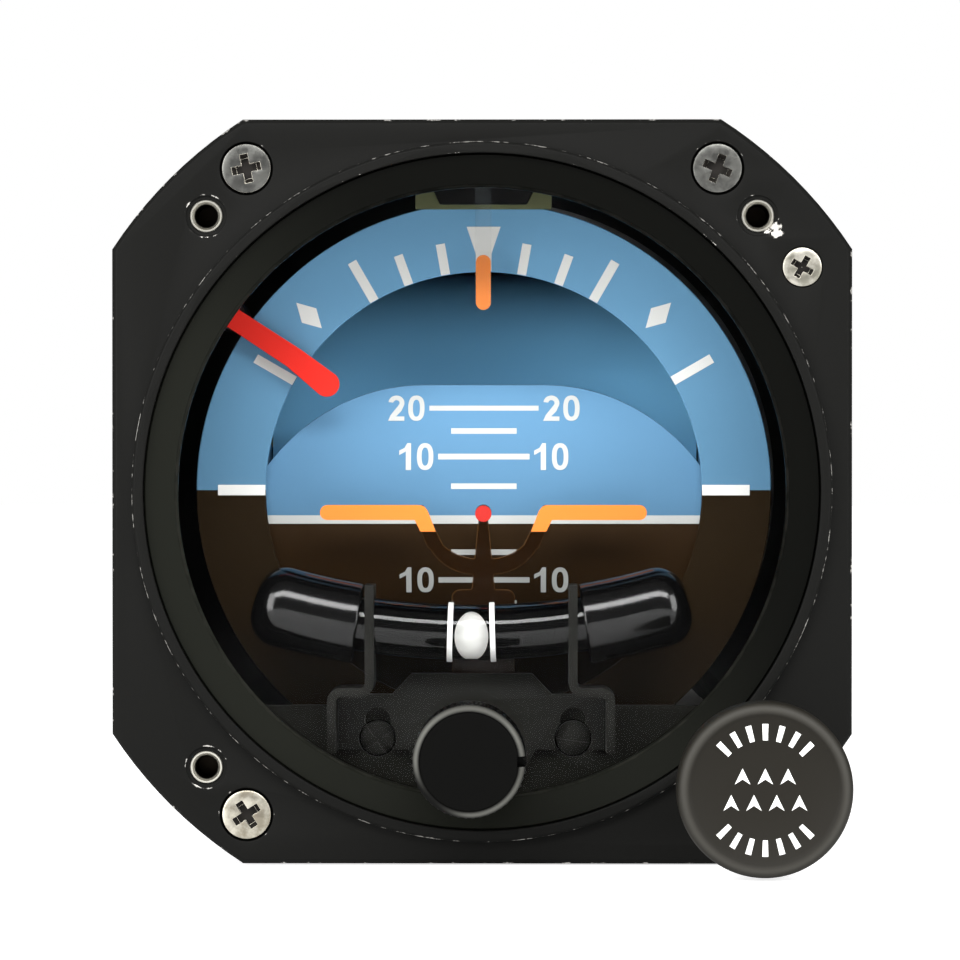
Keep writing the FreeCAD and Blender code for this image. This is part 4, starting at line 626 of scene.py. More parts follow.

# %% [markdown]
# ## Screws
# Four cross-recess screws hold the bezel to the case, and a smaller one sits beside the upper right
# insert. A head is turned with a flat top and a fine chamfer, and a cross of two tapered bars is
# cut out of it. Each head is turned by its own angle, as a screwdriver leaves it. Its edges are
# rubbed bright, and its recess is painted near-black as painted shade.


# %% Cross-recess screws
RECESS_DEPTH = 0.95


def screw_head(name, radius, y_top, x, z, turn, steel):
    seat = y_top + 1.5
    floor_y = y_top + RECESS_DEPTH
    arm = radius * 0.17
    head = turned(name, [
        (seat, 0.0), (seat, radius * 0.97), (y_top + 0.2, radius), (y_top + 0.08, radius),
        (y_top, radius * 0.93), (y_top, 0.0)], x, z, steps=64, smooth=50.0)
    reach = radius * 0.7
    for spin in (turn, turn + 90.0):
        bar = box_piece("recess", x - reach, x + reach, y_top - 0.5, floor_y, z - arm, z + arm)
        for vertex in bar.data.vertices:
            if vertex.co.y > mm(y_top):
                vertex.co.x = mm(x) + (vertex.co.x - mm(x)) * 0.62
        boolean(head, swing(bar, spin, x, z))
    boolean(head, rod("recess_floor", radius * 0.24, y_top - 0.5, floor_y, x, z, sides=16))
    for finish in (steel, edge_steel, recess_painted_shade):
        head.data.materials.append(finish)
    apply_modifier(
        head, "BEVEL", width=mm(0.085), segments=2, limit_method="ANGLE",
        angle_limit=math.radians(50), material=1)
    # Painted shade: faces inside the cross take the near-black third finish.
    for face in head.data.polygons:
        inside = (face.center - mm(x, face.center.y / MM, z)).length < mm(reach + 0.02)
        if face.material_index == 0 and inside and face.center.y > mm(y_top + 0.06):
            face.material_index = 2
    return smoothed(head, 50.0)


def steel_finish(name, dark, light, roughness):
    steel = new_finish(name, light, roughness, metallic=1.0)
    mix = Mix(steel)
    grime = mix.step(mix.noise(0.5, detail=5.0, rough=0.6), 0.38, 0.66)
    mix.colour(mix.blend(grime, dark, light))
    mix.bumps(mix.noise(3.0, detail=2.0), 0.15, 0.03)
    return steel


dull_steel = steel_finish("dull_screw_steel", (0.07, 0.07, 0.066), (0.14, 0.14, 0.13), 0.4)
bright_steel = steel_finish("bright_screw_steel", (0.3, 0.27, 0.21), (0.62, 0.59, 0.5), 0.38)
worn_steel = steel_finish("worn_screw_steel", (0.24, 0.23, 0.19), (0.5, 0.48, 0.42), 0.4)
edge_steel = new_finish("edge_steel", (0.95, 0.9, 0.76), 0.35, metallic=0.6)
# Painted shade: a near-black finish for the faces down in the cross recess.
recess_painted_shade = new_finish("recess_painted_shade", (0.012, 0.01, 0.008), 0.6, 0.2)

head_low, head_high = low_high("bezel_screws")
CAD_HEAD_R, HEAD_R, SMALL_HEAD_R = 2.6, 2.75, 2.2
screw_x, screw_z = head_high.x - CAD_HEAD_R, head_high.z - CAD_HEAD_R
head_y = head_low.y - 0.1
for name, x, z, turn, finish in (
        ("upper_left", -screw_x, screw_z, 12.0, dull_steel),
        ("upper_right", screw_x, screw_z, -22.0, dull_steel),
        ("lower_left", -screw_x, -screw_z, 33.0, bright_steel),
        ("lower_right", screw_x, -screw_z, 5.0, dull_steel)):
    head = screw_head("bezel_screw_" + name, HEAD_R, head_y, x, z, turn, finish)
    dress(head, "case", None, "bezel_screw_steel")
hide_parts("bezel_screws")
small_x, small_z, _, small_y, _ = round_place("small_bezel_screw")
small = screw_head("small_bezel_screw_head", SMALL_HEAD_R, small_y - 0.1, small_x, small_z, -30.0, worn_steel)
dress(small, "case", None, "bezel_screw_steel", "small_bezel_screw")

# %% [markdown]
# ## Mounting inserts
# The panel's screws bite into steel bushes with a thread. The thread is a row of fine grooves on the
# turned profile: rings instead of a helix look the same down so small a hole. The rear end is
# closed, so that no light comes through, and the bore is painted dark beyond its mouth as painted shade.

# %% Threaded bushes
insert_low, insert_high = low_high("mounting_inserts")
INSERT_R, BORE_R, THREAD_R, PITCH = 1.86, 1.35, 1.2, 0.5
insert_x = insert_high.x - INSERT_R
insert_steel = new_finish("insert_steel", (0.66, 0.65, 0.6), 0.33, metallic=1.0)
mix = Mix(insert_steel)
# Painted shade: the steel turns near-black a little way into the bore.
bore_shade = mix.step(mix.y, mm(insert_low.y + 0.1), mm(insert_low.y + 0.7))
mix.colour(mix.blend(bore_shade, (0.7, 0.68, 0.6), (0.01, 0.008, 0.006)))
grooves = []
for n in range(9):
    y = insert_low.y + 0.5 + n * PITCH
    grooves += [(y, BORE_R), (y + PITCH / 2, THREAD_R)]
profile = [(insert_high.y - 0.2, 0.0), (insert_high.y, 0.0), (insert_high.y, INSERT_R),
           (insert_low.y + 0.1, INSERT_R), (insert_low.y, 1.78), (insert_low.y, 1.6),
           (insert_low.y + 0.3, 1.36)] + grooves + [(insert_high.y - 0.2, BORE_R)]
for name, x, z in (("upper_left", -1, 1), ("upper_right", 1, 1), ("lower_left", -1, -1)):
    bush = turned("mounting_insert_" + name, profile, x * insert_x, z * insert_x, steps=48)
    dress(bush, "case", insert_steel, "insert_steel")
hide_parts("mounting_inserts")

# %% [markdown]
# ## Pull knob
# The pilot pulls this mushroom knob to level the gyro quickly. It is a matte black moulding with a
# raised rim. In place of words its face carries plain white arrowheads and ticks. The marks are thin
# plates let into the face, so their edges are crisp.

# %% Turn the knob
pull_x, pull_z, pull_r, face, back = round_place("pull_knob")
mushroom = turned("pull_knob_mushroom", [
    (face + 0.4, 0.0), (face + 0.4, pull_r - 1.75), (face + 0.12, pull_r - 1.4), (face, pull_r - 1.15),
    (face, pull_r - 0.85), (face + 0.12, pull_r - 0.5), (face + 0.45, pull_r - 0.18), (face + 1.0, pull_r),
    (face + 4.4, pull_r), (face + 5.2, pull_r - 0.25), (face + 5.9, pull_r - 1.0),
    (face + 6.2, pull_r - 2.0), (face + 6.6, 5.6), (face + 7.4, 4.75), (face + 8.4, 4.6),
    (back - 0.3, 4.6), (back, 4.3), (back, 0.0)],
    pull_x, pull_z, steps=128, smooth=50.0)
MOULDING_BLACK = (0.0125, 0.0112, 0.0085)
knob_black = new_finish("matte_black_moulding", MOULDING_BLACK, 0.5, 0.1)
mix = Mix(knob_black)
on_rim = near(mix, mix.radius(pull_x, pull_z), pull_r - 0.75, 0.75)
rubbed = mix.times(on_rim, mix.step(mix.y, mm(face + 1.0), mm(face + 0.4)))
mix.colour(mix.blend(rubbed, MOULDING_BLACK, (0.04, 0.038, 0.033)))
mix.bumps(mix.noise(3.0, detail=2.0), 0.1, 0.05)
dress(mushroom, "pull_knob", knob_black, "pull_knob_black", "pull_knob")


# %% Print its marks
def plate_mark(name, outline, y_front, thickness=0.06):
    return flat_piece(name, outline, y_front, y_front + thickness)


white_print = new_finish("white_print", (0.88, 0.89, 0.86), 0.55, 0.2)
marks = []
mark_y = face + 0.36
TICK_STEP, ARROW_STEP = 15.0, 2.5
for centre_turn in (90.0, 270.0):
    for n in range(-3, 4):
        turn = centre_turn + n * TICK_STEP
        tick = plate_mark("tick", [(5.5, -0.27), (7.3, -0.33), (7.3, 0.33), (5.5, 0.27)], mark_y)
        marks.append(slid(swing(tick, turn), x=pull_x, z=pull_z))
for row, count in ((1.45, 3), (-1.45, 4)):
    for n in range(count):
        x = pull_x + (n - (count - 1) / 2) * ARROW_STEP
        z = pull_z + row
        arrowhead = [(x - 0.85, z - 0.8), (x, z - 0.25), (x + 0.85, z - 0.8), (x, z + 0.95)]
        marks.append(plate_mark("arrow", arrowhead, mark_y))
dress(joined("pull_knob_marks", *marks), "pull_knob", white_print, "pull_knob_black")

# %% [markdown]
# ## Airplane trim knob
# A small aluminium knob, blackened, lifts and lowers the miniature airplane. Its rim is knurled for
# grip, and its front edge is rubbed to bare metal, least at the lower left. After the spin two of
# every four columns of rim vertices are pushed in, which is what a straight knurling wheel does.

# %% Turn and knurl the knob
trim_x, trim_z, trim_r, front, rear = round_place("pitch_knob")
KNURL_STEPS, KNURL_SHARE = 192, 0.958
trim_knob = turned("airplane_trim_knob", [
    (front + 0.15, 0.0), (front + 0.15, trim_r - 0.95), (front, trim_r - 0.8), (front + 0.05, trim_r - 0.7),
    (front + 0.75, trim_r - 0.05), (front + 1.1, trim_r), (rear - 2.2, trim_r), (rear - 1.9, trim_r - 0.2),
    (rear - 1.4, trim_r - 0.2), (rear - 1.1, trim_r - 0.1), (rear - 0.3, trim_r - 0.1), (rear, trim_r - 0.4),
    (rear, 0.0)], trim_x, trim_z, steps=KNURL_STEPS, smooth=32.0)
knurled = 0
for vertex in trim_knob.data.vertices:
    dx, dz = vertex.co.x - mm(trim_x), vertex.co.z - mm(trim_z)
    column = round(math.atan2(dz, dx) / math.tau * KNURL_STEPS)
    on_rim = mm(front + 1.0) < vertex.co.y < mm(rear - 2.1) and math.hypot(dx, dz) > mm(trim_r - 0.1)
    if column % 4 < 2 and on_rim:
        vertex.co.x = mm(trim_x) + dx * KNURL_SHARE
        vertex.co.z = mm(trim_z) + dz * KNURL_SHARE
        knurled += 1
edge_x = trim_x + trim_r
notch = box_piece("notch", edge_x - 1.0, edge_x + 1.0, front - 1, front + 3.2, trim_z - 0.6, trim_z + 0.6)
boolean(trim_knob, notch)
smoothed(trim_knob, 32.0)
SATIN_BLACK = (0.0015, 0.0015, 0.0013)
satin_black = new_finish("blackened_aluminium", SATIN_BLACK, 0.35, 0.06)
mix = Mix(satin_black)
on_bevel = near(mix, mix.radius(trim_x, trim_z), trim_r - 0.42, 0.42)
bevel_band = mix.times(on_bevel, mix.step(mix.y, mm(front + 1.0), mm(front + 0.8)))
diagonal = trim_x + trim_z
not_low_left = mix.step(mix.plus(mix.x, mix.z), mm(diagonal - 8.6), mm(diagonal - 5.6))
rubbed = mix.times(mix.times(bevel_band, not_low_left), 0.9)
show_metal(mix, rubbed, SATIN_BLACK, (0.15, 0.15, 0.135), 0.35, 0.45)
dress(trim_knob, "pitch_knob", satin_black, "knob_black", "pitch_knob")
print("knurled vertices:", knurled)

# %% [markdown]
# ## Sky and ground paint
# Three painted parts show the horizon: the bank ring, the curved card and the shell behind it. One
# recipe paints all three, blue above a line and brown below it. On the ring and the card the blue
# is painted darker towards the line, as painted shade.


# %% Two-tone paint
SKY_BLUE = (0.172, 0.4, 0.63)
EARTH_BROWN = (0.016, 0.0088, 0.0022)


def two_tone(name, blue=SKY_BLUE, brown=EARTH_BROWN, tilt=0.0, axis_y=0.0, shaded_share=1.0, shade_height=20.0):
    """Blue over brown, split by a plane through an axis along X that may tip forward.

    The blue is full from the given height up, and is painted darker at the bottom, to the given share of its
    strength, as painted shade.
    """
    paint = new_finish(name, blue, 0.6, 0.08)
    mix = Mix(paint)
    away = mix.math("SUBTRACT", mm(axis_y), mix.y)
    level = mix.plus(mix.z, mix.times(away, math.tan(math.radians(tilt))))
    above = mix.math("GREATER_THAN", level, 0.0)
    # Painted shade: the blue is darker towards the horizon line.
    shaded_blue = tuple(part * shaded_share for part in blue)
    blue_with_painted_shade = mix.blend(mix.step(mix.z, 0.0, mm(shade_height)), shaded_blue, blue)
    mix.colour(mix.blend(above, brown, blue_with_painted_shade))
    return paint


# %% [markdown]
# ## Bank ring
# The ring turns with the gyro behind a fixed pointer. Its white marks stand at 10, 20, 30, 45, 60 and
# 90 degrees. Each mark is a thin plate a twentieth of a millimetre proud of the ring, as thick paint is.

# %% Turn the ring
out_r = ring_high.x
in_r = 25.7
bank_ring = turned("bank_ring", [
    (ring_high.y, in_r), (dial_face + 0.1, in_r), (dial_face, in_r + 0.1), (dial_face, out_r - 0.1),
    (dial_face + 0.1, out_r), (ring_high.y, out_r)], steps=192)
# Painted shade: the ring's blue is darker towards the horizon.
ring_blue = two_tone("bank_ring_paint", shaded_share=0.63, shade_height=28.0)
dress(bank_ring, "roll_gimbal", ring_blue, "dial_paint", "roll_dial_ring")


# %% Bank marks
def radial_tick(name, turn, inside, outside, width, y_front):
    half = width / 2
    tick = plate_mark(name, [(inside, -half), (outside, -half), (outside, half), (inside, half)], y_front)
    return swing(tick, turn)


ring_marks = []
mark_y = dial_face - 0.05
for angle, outside, width in (
        (10, 29.4, 1.08), (20, 29.4, 1.08), (30, 31.0, 1.12), (60, 31.0, 1.12), (90, 31.3, 1.23)):
    for side in (-1, 1):
        ring_marks.append(radial_tick("bank_tick", 90 + side * angle, in_r + 0.02, outside, width, mark_y))
for side in (-1, 1):
    diamond = plate_mark("diamond", [(26.95, 0.0), (29.07, -1.2), (31.2, 0.0), (29.07, 1.2)], mark_y)
    ring_marks.append(swing(diamond, 90 + side * 45))
wedge_right = [(0.93, in_r + 0.05), (0.93, 27.85), (2.0, 31.0)]
wedge_left = [(-x, z) for x, z in reversed(wedge_right)]
ring_marks.append(plate_mark("zero_mark", wedge_left + wedge_right, mark_y))
print("bank marks:", len(ring_marks))
dress(joined("bank_marks", *ring_marks), "roll_gimbal", white_print, "dial_paint")

# %% [markdown]
# ## Horizon card
# The card is a slice of a drum. Seen square on it has a flat crest and rounded shoulders. It is
# turned as a full tube from a thin section, then cut by a plate with the card's outline, and tipped
# nose-down by the few degrees that the instrument shows. Thin cheeks close its two ends.

# %% Shape the card
CARD_R = 27.6
CARD_WIDE = 25.8
CARD_THICK = 0.6
CREST = 15.43
FLAT_HALF = 7.3
SHOULDER_R = 22.86
DROP = 7.3
skin = drum_axis - CARD_R
drum_tube = wire([mm(-CARD_WIDE, skin, 0), mm(CARD_WIDE, skin, 0), mm(CARD_WIDE, skin + CARD_THICK, 0),
                  mm(-CARD_WIDE, skin + CARD_THICK, 0), mm(-CARD_WIDE, skin, 0)])
bpy.ops.mesh.spin(steps=160, angle=math.tau, center=mm(0, drum_axis, 0), axis=(1, 0, 0))
card = finish_mesh(drum_tube, "horizon_card")
shoulder_end = math.degrees(math.acos((CARD_WIDE - FLAT_HALF) / SHOULDER_R))
shoulder = arc(FLAT_HALF, CREST - SHOULDER_R, SHOULDER_R, 90, shoulder_end, 16)
upper = [(-x, z) for x, z in reversed(shoulder)] + shoulder
lower = [(x, -z) for x, z in reversed(upper)]
stencil = flat_piece("stencil", upper + lower, skin - 1, drum_axis)
boolean(card, stencil, "INTERSECT")
tip(smoothed(card, 30.0), DROP, drum_axis)
CHEEK_THICK, CHEEK_HUB_R = 0.25, 3.4
QUARTER_TURN = Matrix(((0, 1, 0, 0), (-1, 0, 0, 0), (0, 0, 1, 0), (0, 0, 0, 1)))
cheeks = []
for side in (-1, 1):
    x0, x1 = sorted((side * (CARD_WIDE - CHEEK_THICK), side * CARD_WIDE))
    fan = arc(0, 0, CARD_R - 0.3, -20, 20, 8) + arc(0, 0, CHEEK_HUB_R, 90, 270, 12)
    blank = flat_piece("cheek", fan, x0, x1)
    blank.data.transform(QUARTER_TURN)
    cheeks.append(tip(slid(blank, y=drum_axis), DROP, drum_axis))
# Painted shade: the card's blue is darker towards its horizon line.
card_paint = two_tone(
    "card_paint", blue=(0.142, 0.325, 0.53), brown=(0.03, 0.0155, 0.0055),
    tilt=DROP, axis_y=drum_axis, shaded_share=0.75, shade_height=15.0)
dress(joined("horizon_card", card, *cheeks), "pitch_drum", card_paint, "card_paint", "pitch_drum")


# %% [markdown]
# ## Pitch scale
# The horizon line is broad and white. Bars stand for 5, 10 and 15 degrees above and below it, and
# for 20 degrees above. The drum turns faster than the gimbal, so the bars are spread wider than
# their true angles. Each bar and digit is a thin plate laid on the drum and tipped round its axis to
# its own angle.

# %% Bars and digits on the drum
scale_marks = []


def on_card(piece, degrees_up):
    """Tip a piece that was made at the front of the drum to its place on the scale."""
    scale_marks.append(tip(piece, DROP - degrees_up, drum_axis))
    return piece


def bar(half_length, height):
    half = height / 2
    corners = [(-half_length, -half), (half_length, -half), (half_length, half), (-half_length, half)]
    return flat_piece("scale_bar", corners, skin - 0.03, skin + 0.05)


TALL = 3.2
MID = TALL / 2
OVAL_HALF = 0.97


def squarish(value, power):
    """A sine or cosine with fuller corners than a circle's."""
    return math.copysign(abs(value) ** power, value)


round_turns = [math.tau * n / 40 for n in range(40)]
oval = [(OVAL_HALF + OVAL_HALF * squarish(math.cos(t), 0.85), MID + MID * squarish(math.sin(t), 0.8))
        for t in round_turns]
hole = [(OVAL_HALF + (x - OVAL_HALF) * 0.43, MID + (z - MID) * 0.68) for x, z in oval]
STROKES = {
    "0": oval,
    "1": [(0.78, 0), (1.4, 0), (1.4, TALL), (0.95, TALL), (0.62, 2.62), (0.0, 2.32), (0.0, 1.78),
          (0.78, 2.22)],
    "2": [(0.0, 0), (1.92, 0), (1.92, 0.54), (0.92, 0.54), (1.55, 1.22)]
         + arc(0.97, 2.25, 0.95, -30, 172, 16) + arc(0.97, 2.25, 0.38, 172, -36, 12) + [(0.3, 0.72)]}
WIDE = {"0": 1.96, "1": 1.65, "2": 1.92}
FIGURE_GAP = 0.45
masters = {figure: plate_mark("figure_" + figure, outline, skin - 0.04, 0.1)
           for figure, outline in STROKES.items()}
boolean(masters["0"], plate_mark("counter", hole, skin - 0.5, 1.0))


def digits(text, inner_end, side):
    """Printed figures that end at a distance from the middle of the card."""
    total = sum(WIDE[figure] for figure in text) + FIGURE_GAP * (len(text) - 1)
    x = inner_end if side > 0 else -inner_end - total
    placed = []
    for figure in text:
        placed.append(slid(copy_of(masters[figure], "figure"), x=x, z=-MID))
        x += WIDE[figure] + FIGURE_GAP
    return joined("figures_" + text, *placed)


on_card(bar(CARD_WIDE - 0.01, 0.99), 0.0)
for angle, turn, half_length, height in (
        (5, 8.2, 3.87, 0.66), (10, 15.5, 5.4, 0.68), (15, 21.9, 3.87, 0.67), (20, 27.8, 6.47, 0.62)):
    for side in (1, -1):
        if angle == 20 and side < 0:
            continue
        on_card(bar(half_length, height), side * turn)
        if angle in (10, 20):
            for hand in (-1, 1):
                on_card(digits(str(angle), half_length + 0.55, hand), side * turn)
print("scale marks:", len(scale_marks))
for master in masters.values():
    bpy.data.objects.remove(master)
card_print = new_finish("card_print", (0.6, 0.62, 0.6), 0.55, 0.1)
dress(joined("pitch_scale_marks", *scale_marks), "pitch_drum", card_print, "card_paint")

# %% [markdown]
# ## Sky shell
# Behind the card's edge a shell fixed to the roll frame goes on with the sky and the ground, so that
# no gap shows when the card pitches. Its ends are drawn out close to the card's thin cheeks, and it
# is trimmed round, inside the bank ring's outer edge.

# %% Paint the shell
# Painted light: the shell has the ring's paint, made lighter here, blue and brown, to make up for the shade
# deep in its recess.
sky = two_tone("sky_shell_paint", blue=(0.19, 0.52, 0.84), brown=(0.024, 0.0135, 0.004))
shell = from_cad("sky_backdrop", "sky_shell", smooth=30.0)
DRAWN_OUT = 1.15
shell_end = max(vertex.co.x for vertex in shell.data.vertices)
for vertex in shell.data.vertices:
    if abs(vertex.co.x) > shell_end - mm(0.05):
        vertex.co.x += math.copysign(mm(DRAWN_OUT), vertex.co.x)
boolean(shell, rod("shell_trim", ring_high.x - 0.6, 10.0, 50.0, sides=96), "INTERSECT")
dress(smoothed(shell, 30.0), "roll_gimbal", sky, "sky_paint", "sky_backdrop")

# %% [markdown]
# ## Frame, mask and bracket
# A black tube carries everything that is fixed in front of the dial. Below, a mask plate hides the
# knob's gear, and a bent bracket in front of it holds the slip tube. Both are sheet metal.

# %% Sheet metal and frame
MASK_BLACK = (0.008, 0.008, 0.006)
mask_high = low_high("lower_mask_plate")[1]
frame_black = new_finish("frame_black", (0.002, 0.002, 0.002), 0.7, 0.05)
mask_black = new_finish("mask_black", MASK_BLACK, 0.55, 0.12)
bracket_black = new_finish("bracket_black", (0.0095, 0.0095, 0.0078), 0.4, 0.15)
mix = Mix(mask_black)
top_edge = mix.step(mix.z, mm(mask_high.z - 0.16), mm(mask_high.z - 0.08))
right_part = mix.times(top_edge, mix.step(mix.x, mm(14), mm(15)))
bare_edge = edge_wear(mix, right_part, 0.6, 0.72, 0.8)
show_metal(mix, bare_edge, MASK_BLACK, (0.45, 0.43, 0.38), 0.55, 0.4)
dark_screw = new_finish("dark_screw", (0.03, 0.03, 0.027), 0.35, metallic=0.9)
for node, name, bevel, finish, slot in (
        ("dial_frame", "dial_frame_tube", 0.08, frame_black, "frame_paint"),
        ("lower_mask_plate", "lower_mask", 0.08, mask_black, "mask_paint"),
        ("inclinometer_bracket", "slip_tube_bracket", 0.1, bracket_black, "bracket_paint"),
        ("mask_screws", "mask_plate_screws", 0.05, dark_screw, "mask_screw_steel")):
    dress(from_cad(node, name, bevel=bevel), "case", finish, slot, node)

# %% [markdown]
# ## Slip tube
# A white ball floats in a curved glass tube full of damping liquid. The liquid bends light as the
# glass does, so tube and liquid are one solid rod of glass here, and the ball swells in it as the
# real one does. Black enamel covers the back half of the tube and laps a little over its sides.


# %% Where the tube is
tube_low, tube_high = low_high("inclinometer_tube")
slip_x = (tube_low.x + tube_high.x) / 2
tube_y = (tube_low.y + tube_high.y) / 2
tube_r = (tube_high.y - tube_low.y) / 2
ARC_R = 83.0
arc_z = tube_low.z + tube_r + ARC_R
print("slip tube centre x", round(slip_x, 2), "radius", round(tube_r, 2), "arc centre z", round(arc_z, 2))


# %% Bent rods along the tube's arc
def bent(name, profile, from_turn, to_turn, steps=48):
    """Sweep a closed (y, down) profile along the arc, between two turns in degrees."""
    centre = mm(slip_x, 0, arc_z)
    piece = filled([centre + mm(0, tube_y + y, -(ARC_R + down)) for y, down in profile + profile[:1]])
    bpy.ops.mesh.spin(steps=steps, angle=math.radians(to_turn - from_turn), center=centre, axis=(0, 1, 0))
    return swing(finish_mesh(piece, name), from_turn, slip_x, arc_z)


# %% Tube, ball and backing
tube_glass = new_finish("slip_tube_glass", (0.98, 0.99, 1.0), 0.0, Transmission_Weight=1.0, IOR=1.46)
cap_high = low_high("inclinometer_end_caps")[1]
reach = math.degrees(math.asin((cap_high.x - slip_x - 3.0) / ARC_R))
tube_section = [((tube_r - 0.02) * math.cos(t), (tube_r - 0.02) * math.sin(t)) for t in round_turns]
tube_black = new_finish("tube_backing", (0.001, 0.001, 0.001), 0.6, 0.05)
rod_of_glass = smoothed(bent("slip_tube", tube_section, -reach, reach), 40.0)
dress(rod_of_glass, "case", tube_glass, "slip_tube_glass", "inclinometer_tube")
rod_of_glass.data.materials.append(tube_black)
for face in rod_of_glass.data.polygons:
    if face.center.y > mm(tube_y - 0.3 * tube_r):
        face.material_index = 1

# Painted light: the ball glows faintly, so that it stays white inside the dark glass.
ball_white = new_finish("ball_white", (0.96, 0.96, 0.92), 0.5, 0.1,
                        Emission_Color=(1.0, 0.99, 0.93, 1.0), Emission_Strength=0.3)
ball_x, ball_z, ball_r, ball_front, ball_rear = round_place("inclinometer_ball")
ball_y = (ball_front + ball_rear) / 2
half_turns = [math.pi * n / 24 for n in range(25)]
half_circle = [(ball_y - ball_r * math.cos(t), ball_r * math.sin(t)) for t in half_turns]
ball = turned("slip_ball_white", half_circle, ball_x, ball_z, steps=48, smooth=60.0)
dress(ball, "slip_ball", ball_white, "slip_ball", "inclinometer_ball")

# %% Wires and caps
dress(from_cad("index_wires", "index_wires_white", smooth=50.0),
      "case", white_print, "index_white", "index_wires")
gloss_black = new_finish("gloss_black_moulding", (0.002, 0.002, 0.002), 0.14, 0.5)
dress(from_cad("inclinometer_end_caps", "slip_tube_caps", bevel=0.35, segments=3, smooth=45.0),
      "case", gloss_black, "end_cap_plastic", "inclinometer_end_caps")

# %% [markdown]
# ## Bank pointer and lamp board
# The fixed pointer is a strip of clear acrylic, lit from its top, and painted orange behind its lower
# end. A black block clamps it under the board that carries the lamps.

# %% Pointer
acrylic = new_finish("clear_acrylic", (0.35, 0.4, 0.42), 0.05, Alpha=0.05)
orange = new_finish("orange_paint", (0.82, 0.23, 0.036), 0.5, 0.15)
pointer_low, pointer_high = low_high("roll_pointer")
half = (pointer_high.x - pointer_low.x) / 2
strip_outline = arc(0, pointer_low.z + half, half, 180, 360, 12)
strip_outline += [(half, pointer_high.z), (-half, pointer_high.z)]
strip_rear = pointer_high.y - 0.15
strip = soften(flat_piece("bank_pointer_strip", strip_outline, pointer_low.y, strip_rear), 0.08, 1)
dress(strip, "case", acrylic, "pointer_acrylic", "roll_pointer")
PAINT_HALF, PAINT_TOP = 0.875, 26.7
paint_outline = arc(0, pointer_low.z + PAINT_HALF + 0.03, PAINT_HALF, 180, 360, 16)
paint_outline += arc(0, PAINT_TOP, PAINT_HALF, 0, 180, 16)
pointer_paint = flat_piece("bank_pointer_paint", paint_outline, strip_rear, pointer_high.y - 0.02)
dress(pointer_paint, "case", orange, "pointer_acrylic")

# %% Block and lamp board
block_black = new_finish("block_black", (0.002, 0.002, 0.002), 0.5, 0.1)
olive = new_finish("olive_board", (0.1, 0.11, 0.05), 0.6, 0.2)
for node, name, bevel, finish, slot in (
        ("pointer_block", "pointer_clamp_block", 0.15, block_black, "block_plastic"),
        ("lamp_board", "lamp_board_plate", 0.08, olive, "lamp_board_olive")):
    dress(from_cad(node, name, bevel=bevel), "case", finish, slot, node)

# %% [markdown]
# ## Warning flag
# A blade of thin sheet, painted red, swings into view when the gyro has no power. It is bare: only
# its colour gives the warning. Its tip is bent a little down.

# %% Flag
flag_red = new_finish("flag_red", (0.84, 0.03, 0.02), 0.5, 0.1)
flag_low, flag_high = low_high("warning_flag")
PIVOT_X, PIVOT_Z, ARM, BEND, SLOPE = -30.0, 20.6, 11.3, 10.0, 33.0
tip_round = arc(ARM + 2.9, 0.0, 1.5, 90, -90, 16)
bend_cos, bend_sin = math.cos(math.radians(BEND)), math.sin(math.radians(BEND))
blade_tip = [(ARM + (x - ARM) * bend_cos + z * bend_sin, z * bend_cos - (x - ARM) * bend_sin)
             for x, z in tip_round]
blade_outline = [(-1.2, -1.2), (-1.2, 1.2), (ARM - 1.8, 1.24)] + blade_tip + [(ARM - 2.2, -1.32)]
blade = soften(flat_piece("warning_flag_blade", blade_outline, flag_low.y, flag_low.y + 0.6), 0.08, 1)
slid(swing(blade, -SLOPE), x=PIVOT_X, z=PIVOT_Z)
hub_front, hub_rear = flag_low.y + 0.55, flag_low.y + 1.4
HUB_R, PIN_R = 1.45, 0.6
hub = turned("flag_hub", [
    (hub_front, 0.0), (hub_front, HUB_R), (hub_rear, HUB_R), (hub_rear, PIN_R), (flag_high.y, PIN_R),
    (flag_high.y, 0.0)], PIVOT_X, PIVOT_Z, 32)
dress(joined("warning_flag_blade", blade, hub), "warning_flag", flag_red, "flag_red", "warning_flag")

# %% [markdown]
# ## Miniature airplane
# The airplane is cut from clear acrylic that has browned with age. Orange paint covers the wings down
# to the bends, and a red dot marks the middle.

# %% Airplane and its paint
aged_acrylic = new_finish("aged_acrylic", (0.0125, 0.0048, 0.001), 0.08, 0.1, Alpha=0.9)
plane_low, plane_high = low_high("airplane_symbol")
edge_acrylic = new_finish("aged_acrylic_edge", (0.11, 0.05, 0.015), 0.2, 0.3, Alpha=0.5)
plane = from_cad("airplane_symbol", "airplane_acrylic")
dress(plane, "airplane", aged_acrylic, "clear_acrylic", "airplane_symbol")
plane.data.materials.append(edge_acrylic)
soften(plane, 0.1, 1, material=1)
WING_Z, WING_HALF = -2.6, 0.88
tip_x = plane_high.x - WING_HALF
rounded = arc(tip_x, WING_Z, WING_HALF, 90, -90, 14)
elbow = [(8.04, WING_Z - WING_HALF), (7.36, -4.83), (5.58, -4.83), (6.3, -2.95), (6.52, -2.4),
         (6.86, -1.96), (7.3, -1.75)]
wing_paint = []
for side in (-1, 1):
    outline = [(side * x, z) for x, z in [(7.7, WING_Z + WING_HALF)] + rounded + elbow]
    wing_paint.append(flat_piece("wing_paint", outline, plane_low.y - 0.06, plane_low.y + 0.06))
dress(joined("airplane_wing_paint", *wing_paint), "airplane", orange, "clear_acrylic")
dot_red = new_finish("dot_red", (0.5, 0.026, 0.02), 0.5, 0.15)
DOT_R = 0.96
dot = rod("airplane_dot", DOT_R, plane_low.y - 0.08, plane_low.y + 0.06, 0.0, WING_Z - 0.14)
dress(soften(dot, 0.05, 1), "airplane", dot_red, "clear_acrylic")
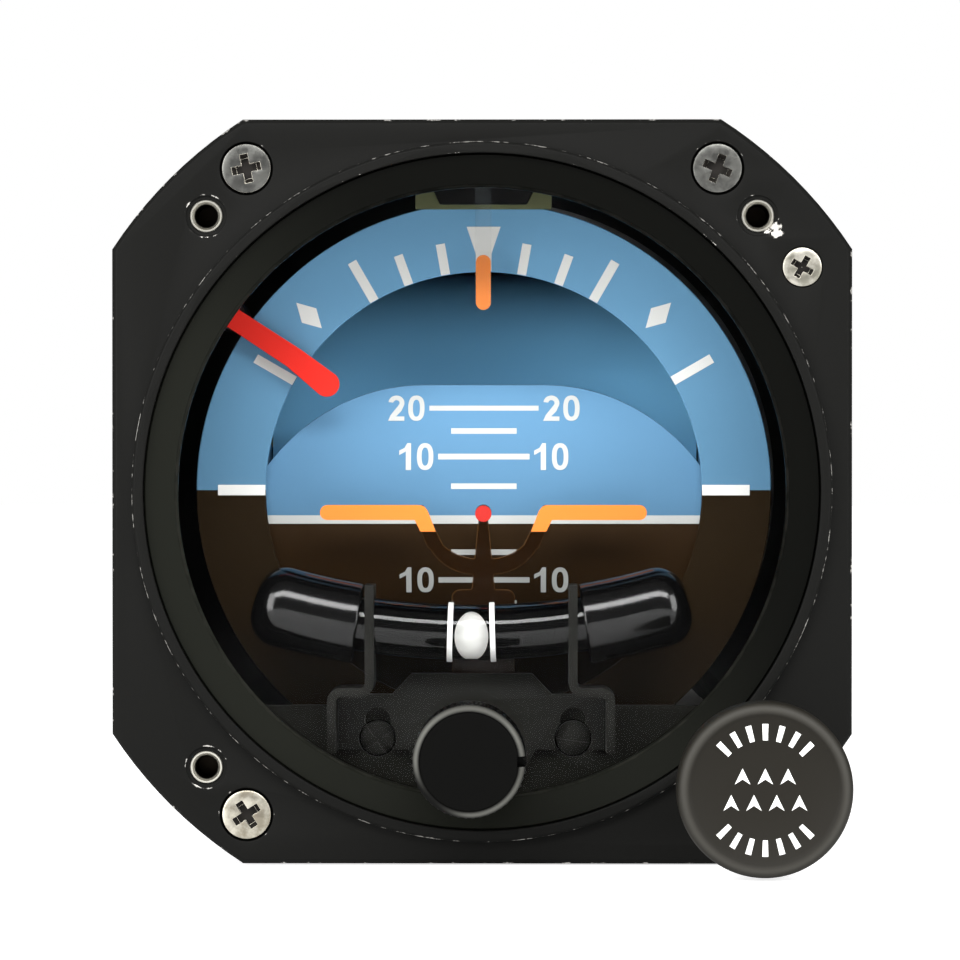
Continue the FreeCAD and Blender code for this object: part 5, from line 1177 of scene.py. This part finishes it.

# %% [markdown]
# ## Everything behind the dial
# The gyro, its gimbals, the gears and the board keep their CAD shapes. Each gets the finish of its
# metal, plastic or board. In the instrument the return spring is squashed as the pull knob comes out:
# its front end stays against the bush, and its rear end follows the collar of the rod. Here it is
# copied with a mesh of its own and stays as it is.

# %% Finish the CAD parts that stay
METAL, NOT_METAL = 1.0, 0.0
kept = (
    ("plain_steel", (0.52, 0.52, 0.5), 0.32, METAL,
     "pull_knob_bushing pitch_knob_bushing pull_rod caging_arm pitch_knob_shaft drum_stub_shafts "
     "pitch_bearings roll_spindle gimbal_pivots spin_bearings rotor_shaft roll_bearings rear_cover_screws"),
    ("plain_brass", (0.7, 0.47, 0.17), 0.3, METAL,
     "pitch_pinion airplane_rack slip_ring_drum roll_balance_weights drum_gear drum_counterweight "
     "gimbal_gear_sector gyro_rotor"),
    ("plain_aluminium", (0.7, 0.7, 0.69), 0.38, METAL,
     "rotor_housing_lower rotor_housing_upper rear_bulkhead"),
    ("dark_anodised", (0.004, 0.004, 0.004), 0.6, NOT_METAL, "roll_cage_crown roll_yoke flag_actuator"),
    ("stator_iron", (0.2, 0.19, 0.18), 0.5, METAL, "motor_stator"),
    ("gasket_rubber", (0.01, 0.01, 0.01), 0.8, NOT_METAL, "glass_gasket"),
    ("brush_block_brown", (0.09, 0.05, 0.025), 0.5, NOT_METAL, "brush_block"),
    ("board_green", (0.02, 0.11, 0.045), 0.4, NOT_METAL, "circuit_board"),
    ("plug_insert_black", (0.012, 0.012, 0.012), 0.5, NOT_METAL, "connector_insert"),
    ("plug_shell_metal", (0.3, 0.31, 0.27), 0.4, METAL, "connector_shell"))
finishes = {}
for name, colour, roughness, metallic, names in kept:
    finishes[name] = new_finish(name, colour, roughness, 0.4, metallic)
    for node in names.split():
        for slot in nodes[node].material_slots:
            slot.material = finishes[name]
print("CAD parts dressed:", sum(len(row[-1].split()) for row in kept))

# %% Copy the return spring
spring = from_cad("return_spring", "return_spring_coil")
dress(spring, "case", finishes["plain_steel"], "spring_steel", "return_spring")
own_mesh(spring)
